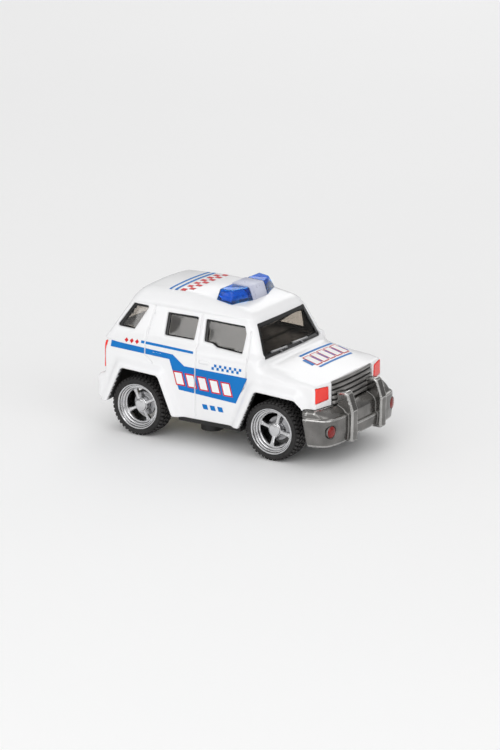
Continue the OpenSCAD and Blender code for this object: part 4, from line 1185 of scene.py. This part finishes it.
def make_camera():
    level = math.cos(ELEVATION)
    back = Vector((math.sin(AZIMUTH) * level, -math.cos(AZIMUTH) * level, math.sin(ELEVATION)))
    right = Vector((math.cos(AZIMUTH), math.sin(AZIMUTH), 0))
    up = back.cross(right)
    place = DISTANCE * back - OFFSET_RIGHT * right - OFFSET_UP * up + Vector((REAR_X, 0, 0))
    data = bpy.data.cameras.new("camera")
    data.sensor_width = 36
    data.lens = data.sensor_width * FOCAL_PIXELS / FRAME_PIXELS
    data.clip_end = 20
    camera = bpy.data.objects.new("camera", data)
    camera.location = place * MM
    camera.rotation_mode = "QUATERNION"
    camera.rotation_quaternion = (-back).to_track_quat("-Z", "Y")
    bpy.context.scene.collection.objects.link(camera)
    bpy.context.scene.camera = camera


def make_floor():
    size = 6
    mesh = bpy.data.meshes.new("floor")
    corners = [(-size, -size, 0), (size, -size, 0), (size, size, 0), (-size, size, 0)]
    mesh.from_pydata(corners, [], [(0, 1, 2, 3)])
    material = new_material("floor_card", linear(252, 252, 252), 0.8)
    tint(material, noise(material, 3), linear(251, 251, 251), linear(253, 253, 253))
    mesh.materials.append(material)
    floor = bpy.data.objects.new("floor", mesh)
    bpy.context.scene.collection.objects.link(floor)


def add_area(name, place, size, power):
    data = bpy.data.lights.new(name, "AREA")
    data.size = size
    data.energy = power
    lamp = bpy.data.objects.new(name, data)
    lamp.location = place
    lamp.rotation_mode = "QUATERNION"
    lamp.rotation_quaternion = (Vector(LIGHT_TARGET) - Vector(place)).to_track_quat("-Z", "Y")
    bpy.context.scene.collection.objects.link(lamp)


def make_light():
    world = bpy.data.worlds.new("studio")
    world.use_nodes = True
    tree = world.node_tree
    direction = tree.nodes.new("ShaderNodeTexCoord")
    split = tree.nodes.new("ShaderNodeSeparateXYZ")
    rise = tree.nodes.new("ShaderNodeMapRange")
    rise.inputs["From Min"].default_value = 0
    rise.inputs["From Max"].default_value = 0.8
    rise.inputs["To Min"].default_value = HORIZON_LIGHT
    rise.inputs["To Max"].default_value = SKY_LIGHT
    tree.links.new(direction.outputs["Generated"], split.inputs["Vector"])
    tree.links.new(split.outputs["Z"], rise.inputs["Value"])
    background = tree.nodes["Background"]
    background.inputs["Color"].default_value = (1, 1, 1, 1)
    tree.links.new(rise.outputs["Result"], background.inputs["Strength"])
    bpy.context.scene.world = world
    add_area("key", (0.25, -1.2, 0.65), 1.1, 6)
    add_area("fill", (1.25, -0.35, 0.75), 1.1, 3.7)
    add_area("card", (-0.51, -1.05, 0.33), 0.36, 0.6)
    add_area("back", (-0.4, 1.1, 0.9), 0.8, 2.8)


make_camera()
make_floor()
make_light()
bpy.context.scene.view_settings.view_transform = "Standard"
